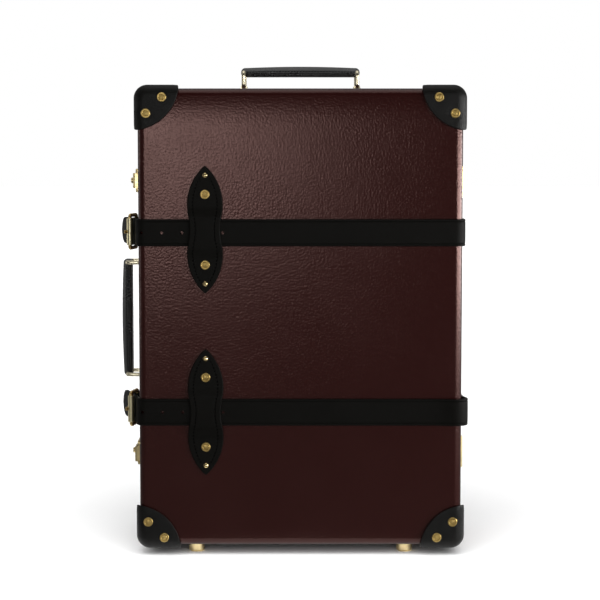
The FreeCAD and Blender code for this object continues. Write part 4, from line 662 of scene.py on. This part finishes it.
def boxCutter(low, high):
    # the eight corners of a box as two rings of four
    ring = np.array([[0, 0], [1, 0], [1, 1], [0, 1]], float)
    share = np.concatenate([np.repeat([[0.0], [1.0]], 4, 0), np.tile(ring, (2, 1))], -1)
    return (np.array(low) + share * (np.array(high) - np.array(low))).reshape(2, 4, 3)


def stitchRow(name, spots, runs, lifts, length, radius):
    # one capsule for each stitch: a round ring that swells and closes along its run, half sunk in the leather
    along = np.linspace(-1, 1, 7)
    turn = fullTurn(6)
    girth = radius * np.sqrt(np.clip(1 - along ** 4, 0.05, 1))
    sides = np.cross(lifts, runs)
    shape = (spots[:, None, None] + runs[:, None, None] * (along * length / 2)[None, :, None, None]
             + sides[:, None, None] * (girth[:, None] * np.cos(turn))[None, ..., None]
             + lifts[:, None, None] * (girth[:, None] * np.sin(turn))[None, ..., None])
    return makePiece(name, shape, threadLook, 80)


for belt in ("upper", "lower"):
    low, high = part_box(f"belt_{belt}_back")
    height, width = (low.z + high.z) / 2, high.z - low.z
    b, t = beltShape, tailShape
    path, thick = beltPath(slackShape[belt])
    strap = makePiece(f"{belt}Belt", sweepStrap(path, width, thick, height, np.ones(len(path))),
                      looks["strap_leather"])
    holes = np.zeros((b["holes"], 3)) + [left + b["holeInset"], front, height]
    holes[:, 0] += np.arange(b["holes"]) * b["holePitch"]
    cutAway(strap, roundCutters(holes, b["hole"], 6 * mm, 1))
    cutAway(strap, boxCutter((left - b["notchOut"], heelY - b["notchFront"], height - b["notchHalf"]),
                             (left - b["notchSkin"], heelY + b["notchBack"], height + b["notchHalf"])))
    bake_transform(strap)
    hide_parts(f"belt_{belt}_front", f"belt_{belt}_back")

    # two rows of stitches hold the folded flap down
    rise = np.linspace(-0.4, 0.4, flapSewing["count"]) * width
    rise = rise[np.abs(rise) > b["notchHalf"] + flapSewing["clear"]]
    rowsY = np.repeat(heelY + np.array(flapSewing["rows"]), len(rise))
    spots = np.stack([flapX(rowsY, flapSewing["lift"]), rowsY, np.tile(height + rise, 2)], -1)
    stitches = stitchRow(f"{belt}FlapStitches", spots, np.array([[0.0, 0.0, 1.0]]), np.array([[-1.0, 0.0, 0.0]]),
                         flapSewing["stitch"], flapSewing["thread"])
    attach(stitches, "base")

    # tail: along the side, then out at a slant under the roller, with a round end
    slope, flat = math.tan(math.radians(t["angle"])), math.cos(math.radians(t["angle"]))
    startY, firstY = front + t["back"], front + b["frontEnd"]
    endY = startY + t["length"] * flat
    y = firstY + (endY - firstY) * np.sin(np.linspace(0, 1, t["rows"]) * np.pi / 2)
    past = y - startY
    out = b["gap"] + slope * (past + np.sqrt(past ** 2 + t["bend"] ** 2)) / 2
    inEnd = np.clip(past / flat - t["length"] + width / 2, 0, None)
    half = np.sqrt(np.clip((width / 2) ** 2 - inEnd ** 2, 1e-8, None))
    tailPath = np.stack([left - out, y], -1)[::-1]
    tail = makePiece(f"{belt}BeltTail", sweepStrap(tailPath, width, np.ones(len(y)), height, half[::-1] / (width / 2)),
                     looks["strap_leather"])
    slotY, holePast = startY + t["slotAt"] * flat, t["holeAt"] * flat
    cutAway(tail, boxCutter((left - t["slotOut"], slotY - t["slotHalf"], height - t["slotWide"]),
                            (left, slotY + t["slotBack"], height + t["slotWide"])))
    holes = np.array([[left - slope * holePast, startY + holePast, height]])
    cutAway(tail, roundCutters(holes, b["hole"], 9 * mm, 0))
    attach(tail, "lid")
    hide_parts(f"belt_{belt}_tail")
print("belts made")

# leaf-shaped leathers bridge the belts

keeperShape = {"half": 71 * mm, "width": 19.75 * mm, "waist": 16.75 * mm, "bulge": 27.5 * mm, "wall": 2.6 * mm,
               "seat": 0.1 * mm, "edge": 1.0 * mm, "bridge": 3.5 * mm, "ramp": 15 * mm, "beltHalf": 15 * mm,
               "play": 0.5 * mm, "tip": 2.2 * mm, "tipShare": 0.86, "tipCut": 0.32 * mm, "rows": 131, "seam": 6.2 * mm,
               "seamDeep": 0.22 * mm, "seamWide": 0.55 * mm, "seamFrom": 7 * mm, "seamTo": 9 * mm,
               "sewnHalf": 58 * mm, "stitch": 2.4 * mm, "pitch": 3.9 * mm, "thread": 0.62 * mm, "sink": 0.12 * mm}


def leafHalf(z):
    # half width of the leaf: a waist arc in the middle, bulging arcs beyond it and a round tip
    k, away = keeperShape, np.abs(z)
    leaf = (k["width"] ** 2 + (k["half"] - k["bulge"]) ** 2) / (2 * k["width"])
    dip = k["width"] - k["waist"]
    total = (dip ** 2 + k["bulge"] ** 2) / (2 * dip)
    meet = k["bulge"] * (1 - leaf / total)
    waist = k["waist"] + total - leaf - np.sqrt(np.clip((total - leaf) ** 2 - z ** 2, 0, None))
    outer = k["width"] - leaf + np.sqrt(np.clip(leaf ** 2 - (away - k["bulge"]) ** 2, 0, None))
    inTip = np.clip((away - k["half"] + k["tip"]) / (k["tip"] * k["tipShare"]), 0, 1)
    return np.where(away < meet, waist, outer) * np.sqrt(np.clip(1 - inTip ** 2, 4e-4, 1))


def keeperRise(z):
    # how far the leather stands off the lid to clear the belt, whose middle is at beltAt
    reach = keeperShape["beltHalf"] + keeperShape["play"]
    return keeperShape["bridge"] * smoothStep(reach + keeperShape["ramp"], reach, np.abs(z - beltAt))


for belt in ("upper", "lower"):
    low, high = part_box(f"keeper_{belt}")
    middleX, middleZ = (low.x + high.x) / 2, (low.z + high.z) / 2
    beltLow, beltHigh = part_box(f"belt_{belt}_back")
    beltAt = (beltLow.z + beltHigh.z) / 2 - middleZ
    k = keeperShape
    z = (k["half"] - k["tipCut"]) * np.sin(np.linspace(-1, 1, k["rows"]) * np.pi / 2)
    half = leafHalf(z)
    seamShare, edgeShare = np.linspace(0.62, 0.78, 13), 1 - np.geomspace(0.002, 0.09, 8)   # finer at seam and edge
    share = np.unique(np.concatenate([np.linspace(-1, 1, 21), seamShare, -seamShare, edgeShare, -edgeShare]))
    inset = half[:, None] * (1 - np.abs(share))
    rounded = np.clip(inset, 0, k["edge"])
    groove = np.exp(-((inset - k["seam"]) / k["seamWide"]) ** 2)
    groove *= smoothStep(k["seamFrom"], k["seamTo"], half)[:, None]
    top = (k["wall"] - k["edge"] + np.sqrt(np.clip(k["edge"] ** 2 - (k["edge"] - rounded) ** 2, 0, None))
           - k["seamDeep"] * groove)
    under = np.linspace(1, -1, 9)
    across = half[:, None] * np.concatenate([share, under])
    out = np.concatenate([top, np.full((len(z), len(under)), k["seat"])], 1) + keeperRise(z)[:, None]
    points = np.stack(np.broadcast_arrays(middleX + across, front - out, (middleZ + z)[:, None]), -1)
    keeper = makePiece(f"{belt}Keeper", points, looks["strap_leather"], 50)
    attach(keeper, "lid")
    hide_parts(f"keeper_{belt}")

    # stitches follow both edges at an even pitch
    line = np.linspace(-k["sewnHalf"], k["sewnHalf"], 400)
    curve = np.stack([leafHalf(line) - k["seam"], -keeperRise(line) - k["wall"] + k["sink"], line], -1)
    length = runLength(curve)
    marks = np.arange(k["pitch"] / 2, length[-1], k["pitch"])
    spot, tangent = (np.stack([np.interp(marks, length, column) for column in values.T], -1)
                     for values in (curve, np.gradient(curve, axis=0)))
    tangent = unit(tangent)
    lift = unit(np.cross(tangent, [1.0, 0.0, 0.0]))
    lift *= -np.sign(lift[:, 1:2])
    flip = np.array([-1.0, 1.0, 1.0])
    spots = np.concatenate([spot, spot * flip]) + [middleX, front, middleZ]
    stitches = stitchRow(f"{belt}KeeperStitches", spots, np.concatenate([tangent, tangent * flip]),
                         np.concatenate([lift, lift * flip]), k["stitch"], k["thread"])
    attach(stitches, "lid")
print("keepers made")

# carry grips: padded leather, bowed out, with a sewn welt low on each side

gripShape = {"endWide": 11 * mm, "wide": 12.5 * mm, "endThick": 5.2 * mm, "thick": 6.0 * mm, "bow": 0.9 * mm,
             "swellPower": 1.14, "short": 1.4 * mm, "tip": 4.5 * mm, "spokes": 72, "welt": 0.6 * mm, "weltAt": 0.235,
             "weltWide": 0.022, "pucker": 0.10 * mm, "puckerWide": 0.07, "stitchAt": 0.275, "stitchEnd": 8 * mm,
             "pitch": 3.4 * mm, "stitch": 2.4 * mm, "thread": 0.42 * mm}


def loafSection():
    # from the middle of the underside up to the middle of the top and down again: a flat underside, an upright
    # side, a slanted facet and a low dome. Cutting every corner three times rounds them
    half = np.array([[0, -1], [0.88, -1], [1, -0.8], [1, 0.12], [0.6, 0.86], [0.3, 0.97], [0, 1.0]])
    for _ in range(3):
        near, far = half[:-1] * 0.75 + half[1:] * 0.25, half[:-1] * 0.25 + half[1:] * 0.75
        half = np.concatenate([half[:1], np.stack([near, far], 1).reshape(-1, 2), half[-1:]])
    whole = np.concatenate([half, half[-2::-1] * [-1, 1]])
    length = runLength(whole)
    return length / length[-1], whole


sectionShare, sectionPoints = loafSection()


def gripPoint(along, turn):
    # across and up at a place along the grip and a share of the way round it: the section swells to the middle,
    # closes round the ends and carries a welt low on each side, puckered between stitches
    g = gripShape
    swell = np.clip(1 - (along / halfLength) ** 2, 0, 1) ** g["swellPower"]
    inTip = np.clip((np.abs(along) - halfLength + g["tip"]) / g["tip"], 0, 0.999)
    close = np.sqrt(np.clip(1 - inTip ** 2, 0, 1))
    wide = (g["endWide"] + (g["wide"] - g["endWide"]) * swell) * close
    thick = (g["endThick"] + (g["thick"] - g["endThick"]) * swell) * close
    across = wide * np.interp(turn, sectionShare, sectionPoints[:, 0])
    up = thick * np.interp(turn, sectionShare, sectionPoints[:, 1])
    fromWelt = np.abs(0.5 - np.abs(0.5 - turn) - g["weltAt"])
    welt = g["welt"] * np.exp(-(fromWelt / g["weltWide"]) ** 2)
    pucker = g["pucker"] * np.cos(2 * np.pi * along / g["pitch"]) * np.exp(-(fromWelt / g["puckerWide"]) ** 2)
    return across + np.sign(0.5 - turn) * (welt + pucker) * close, up + g["bow"] * swell


def placeGrip(along, turn):
    # the top grip lies along X with its bow up, the side grip along Z with its bow to the left
    along, across, up = np.broadcast_arrays(along, *gripPoint(along, turn))
    return np.stack([-up, across, along] if side else [along, across, up], -1) + middle


for name, side in (("top", False), ("side", True)):
    g = gripShape
    low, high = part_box(f"{name}_handle_grip")
    halfLength = (high.z - low.z if side else high.x - low.x) / 2 - g["short"]
    middle = (np.array(low) + np.array(high)) / 2
    if side:
        middle[0] = high.x - g["endThick"]
    else:
        middle[2] = low.z + g["endThick"]
    tipRows = np.linspace(0.0004, 0.06, 14)
    along = halfLength * np.concatenate([-1 + tipRows, np.linspace(-0.93, 0.93, 260), 1 - tipRows[::-1]])
    points = placeGrip(along[:, None], np.linspace(0, 1, g["spokes"], endpoint=False)[None, :])
    grip = makePiece(f"{name}HandleGrip", points, looks["handle_leather"], 60)
    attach(grip, f"{name}_handle_grip")
    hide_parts(f"{name}_handle_grip")

    # a stitch runs towards the next place along the grip and lifts off the leather
    marks = np.arange(-halfLength + g["stitchEnd"], halfLength - g["stitchEnd"], g["pitch"])
    rows = []
    for angle in (g["stitchAt"], 1 - g["stitchAt"]):
        turn = np.full(len(marks), angle)
        spot = placeGrip(marks, turn)
        runs = unit(placeGrip(marks + 0.3 * mm, turn) - spot)
        lifts = np.cross(runs, placeGrip(marks, turn + 0.01) - spot)
        lifts = unit(lifts) * np.sign(np.einsum("ij,ij->i", lifts, spot - middle))[:, None]
        rows.append((spot, runs, unit(lifts - runs * np.einsum("ij,ij->i", lifts, runs)[:, None])))
    spots, runs, lifts = (np.concatenate(parts) for parts in zip(*rows))
    stitches = stitchRow(f"{name}GripStitches", spots, runs, lifts, g["stitch"], g["thread"])
    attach(stitches, f"{name}_handle_grip")
print("grips made")

# small brass heads that fasten plates and leaves

# radius and rise of each kind, then what both share
headShape = {"nail": (2.5 * mm, 1.7 * mm), "screw": (2.3 * mm, 1.1 * mm), "rim": 0.4 * mm, "spokes": 18}
headPlace = {"plate": 0.8 * mm, "leaf": 1.2 * mm, "lockIn": 23 * mm, "lockBack": 13.3 * mm, "lockUp": 18.3 * mm,
             "haspFront": 17.4 * mm, "haspUp": 9 * mm, "hingeIn": 18 * mm, "hingeOut": 11.5 * mm,
             "hingeUp": 12 * mm, "bracketIn": 9 * mm, "bracketOut": 8.5 * mm}


def domeHeads(name, spots, lift, kind, body):
    # shallow domes: a quarter ellipse turned about the lift direction, on a short rim
    radius, rise = headShape[kind]
    lift = np.array(lift, float)
    first = unit(np.cross(lift, [0.31, 0.52, 0.79]))
    second = np.cross(lift, first)
    slope = np.concatenate([[0.0, 0.0], np.linspace(0.2, 1.53, 6)])
    level = np.concatenate([[-headShape["rim"], 0.0], rise * np.sin(slope[2:])])
    turn = fullTurn(headShape["spokes"])
    ringOut = radius * np.cos(slope)[:, None, None] * (np.cos(turn)[:, None] * first + np.sin(turn)[:, None] * second)
    shape = np.array(spots)[:, None, None] + ringOut[None] + lift * level[None, :, None, None]
    heads = makePiece(name, shape, looks["lock_brass"], 50)
    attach(heads, body)


def inFrom(low, high, inset):
    return low + inset, high - inset


h = headPlace
lockLow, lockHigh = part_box("lock_cases")
lockMiddles = inFrom(lockLow.z, lockHigh.z, h["lockIn"])
domeHeads("lockPlateNails", [(left - h["plate"], seamY + h["lockBack"], z + shift) for z in lockMiddles
                             for shift in (-h["lockUp"], h["lockUp"])], (-1, 0, 0), "nail", "base")
domeHeads("haspPlateNails", [(left - h["plate"], seamY - h["haspFront"], z + shift) for z in lockMiddles
                             for shift in (-h["haspUp"], h["haspUp"])], (-1, 0, 0), "screw", "lid")
hingeLow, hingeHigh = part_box("base_hinge_leaves")
for body, way in (("base", 1), ("lid", -1)):
    domeHeads(f"{body}HingeScrews", [(right + h["leaf"], seamY + way * h["hingeOut"], z + shift)
                                     for z in inFrom(hingeLow.z, hingeHigh.z, h["hingeIn"])
                                     for shift in (-h["hingeUp"], 0.0, h["hingeUp"])], (1, 0, 0), "screw", body)
topLow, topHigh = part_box("top_handle_brackets")
handleY = (topLow.y + topHigh.y) / 2
nailsY = handleY - h["bracketOut"], handleY + h["bracketOut"]
domeHeads("topBracketNails", [(x, y, caseHigh[2] + h["leaf"]) for x in inFrom(topLow.x, topHigh.x, h["bracketIn"])
                              for y in nailsY], (0, 0, 1), "screw", "base")
sideLow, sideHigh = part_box("side_handle_brackets")
domeHeads("sideBracketNails", [(left - h["leaf"], y, z) for z in inFrom(sideLow.z, sideHigh.z, h["bracketIn"])
                               for y in nailsY], (-1, 0, 0), "screw", "base")
print("nails and screws made")

# camera, floor and light

cameraLook = {"place": (0.0111, -2.093, 0.454), "tilt": 4.735, "lens": 108.5}
camera = bpy.data.objects.new("camera", bpy.data.cameras.new("camera"))
camera.location = cameraLook["place"]
camera.rotation_euler = (math.radians(90 - cameraLook["tilt"]), 0, 0)
camera.data.lens = cameraLook["lens"]
camera.data.sensor_width = 36
scene.collection.objects.link(camera)
scene.camera = camera
scene.view_settings.view_transform = "Standard"

lightLook = {"roomLevel": 0.26, "floorColour": 0.95, "floorBounce": 0.55, "floorHalf": 20}


def backgroundShare(tree):
    # 1 for rays that show the background: straight to the camera, mirrored or through glass
    path = tree.nodes.new("ShaderNodeLightPath").outputs
    seen = mathNode(tree, "MAXIMUM", path["Is Camera Ray"], path["Is Glossy Ray"])
    return mathNode(tree, "MAXIMUM", seen, path["Is Transmission Ray"])


def bareMaterial(thing, name, kind):
    # a material of one shader, whose tree and inputs are given back
    material = bpy.data.materials.new(name)
    material.use_nodes = True
    tree = material.node_tree
    tree.nodes.clear()
    shader = tree.nodes.new(kind)
    tree.links.new(shader.outputs[0], tree.nodes.new("ShaderNodeOutputMaterial").inputs["Surface"])
    thing.data.materials.append(material)
    return tree, shader.inputs


world = bpy.data.worlds.new("studio")
world.use_nodes = True
scene.world = world
world.cycles.sampling_method = "NONE"   # the world is even, so rays find it by themselves
tree = world.node_tree
background = tree.nodes["Background"].inputs
background["Color"].default_value = (1, 1, 1, 1)
tree.links.new(rangeNode(tree, backgroundShare(tree), lightLook["roomLevel"], 1.0), background["Strength"])

edge = lightLook["floorHalf"]
floor = linkMesh("floor", [(-edge, -edge, 0), (edge, -edge, 0), (edge, edge, 0), (-edge, edge, 0)], [(0, 1, 2, 3)])
tree, shader = bareMaterial(floor, "paleFloor", "ShaderNodeBsdfDiffuse")
tone = rangeNode(tree, backgroundShare(tree), lightLook["floorBounce"], lightLook["floorColour"])
tree.links.new(tone, shader["Color"])   # paler as a background than as a reflector

# grey studio walls and floor cloth, seen only in reflections: a profile of radius and height turned about Z
wallLook = {"innerX": 0.32, "innerY": 0.15, "outer": 2.7, "cloth": 2 * mm, "top": 5.6, "front": 0.04, "behind": 0.35,
            "sides": 64}
outer = wallLook["outer"]
profile = np.array([[wallLook["innerX"], wallLook["innerY"], wallLook["cloth"]], [outer, outer, wallLook["cloth"]],
                    [outer, outer, wallLook["top"]]])
turn = fullTurn(wallLook["sides"])
across, deep, up = profile.T[..., None]
points = np.stack(np.broadcast_arrays(across * np.cos(turn), deep * np.sin(turn), up), -1)
walls = linkMesh("studioWalls", points, gridFaces(*points.shape[:2]).tolist())
tree, shader = bareMaterial(walls, "greyCloth", "ShaderNodeEmission")
depth = splitNode(tree, tree.nodes.new("ShaderNodeTexCoord").outputs["Object"])["Y"]
tree.links.new(rangeNode(tree, depth, wallLook["front"], wallLook["behind"], -outer, outer), shader["Strength"])
walls.visible_camera = walls.visible_diffuse = walls.visible_shadow = walls.visible_transmission = False

lamps = {
    "sheenLamp": {"place": (-0.37, -2.10, 0.53), "aim": (-0.05, 0.0, 0.42), "size": (0.6, 0.42), "power": 5.1},
    "rightLamp": {"place": (1.5, -0.55, 0.33), "aim": (0.15, -0.09, 0.33), "size": (2.6, 0.33), "power": 38.0},
    "leftLamp": {"place": (-1.5, 0.15, 0.36), "aim": (-0.19, 0.0, 0.3), "size": (0.4, 0.5), "power": 0.9},
    "topLamp": {"place": (0.0, -0.1, 2.4), "aim": (0.0, -0.1, 0.0), "size": (2.2, 1.0), "power": 15.0},
}
floorLight = {"lean": 45.0, "spread": 85.0, "strength": 5.0, "height": 2.6}   # broad, for the floor alone


def floorCollection(name):
    collection = bpy.data.collections.new(name)
    collection.objects.link(floor)
    return collection


def placeLight(name, data, place, turn, receivers):
    light = bpy.data.objects.new(name, data)
    light.location = place
    light.rotation_euler = turn
    light.light_linking.receiver_collection = receivers
    scene.collection.objects.link(light)
    return light


unlitFloor = floorCollection("unlitFloor")
unlitFloor.collection_objects[0].light_linking.link_state = "EXCLUDE"
for name, lamp in lamps.items():
    data = bpy.data.lights.new(name, "AREA")
    data.shape = "RECTANGLE"
    data.size, data.size_y = lamp["size"]
    data.energy = lamp["power"]
    aim = Vector(lamp["aim"]) - Vector(lamp["place"])
    light = placeLight(name, data, lamp["place"], aim.to_track_quat("-Z", "Y").to_euler(), unlitFloor)
    light.visible_camera = False
    light.visible_glossy = name != "topLamp"
data = bpy.data.lights.new("floorLight", "SUN")
data.angle = math.radians(floorLight["spread"])
data.energy = floorLight["strength"]
placeLight("floorLight", data, (0, 0, floorLight["height"]), (math.radians(floorLight["lean"]), 0, 0),
           floorCollection("litFloor"))
print("camera, floor and lamps placed")
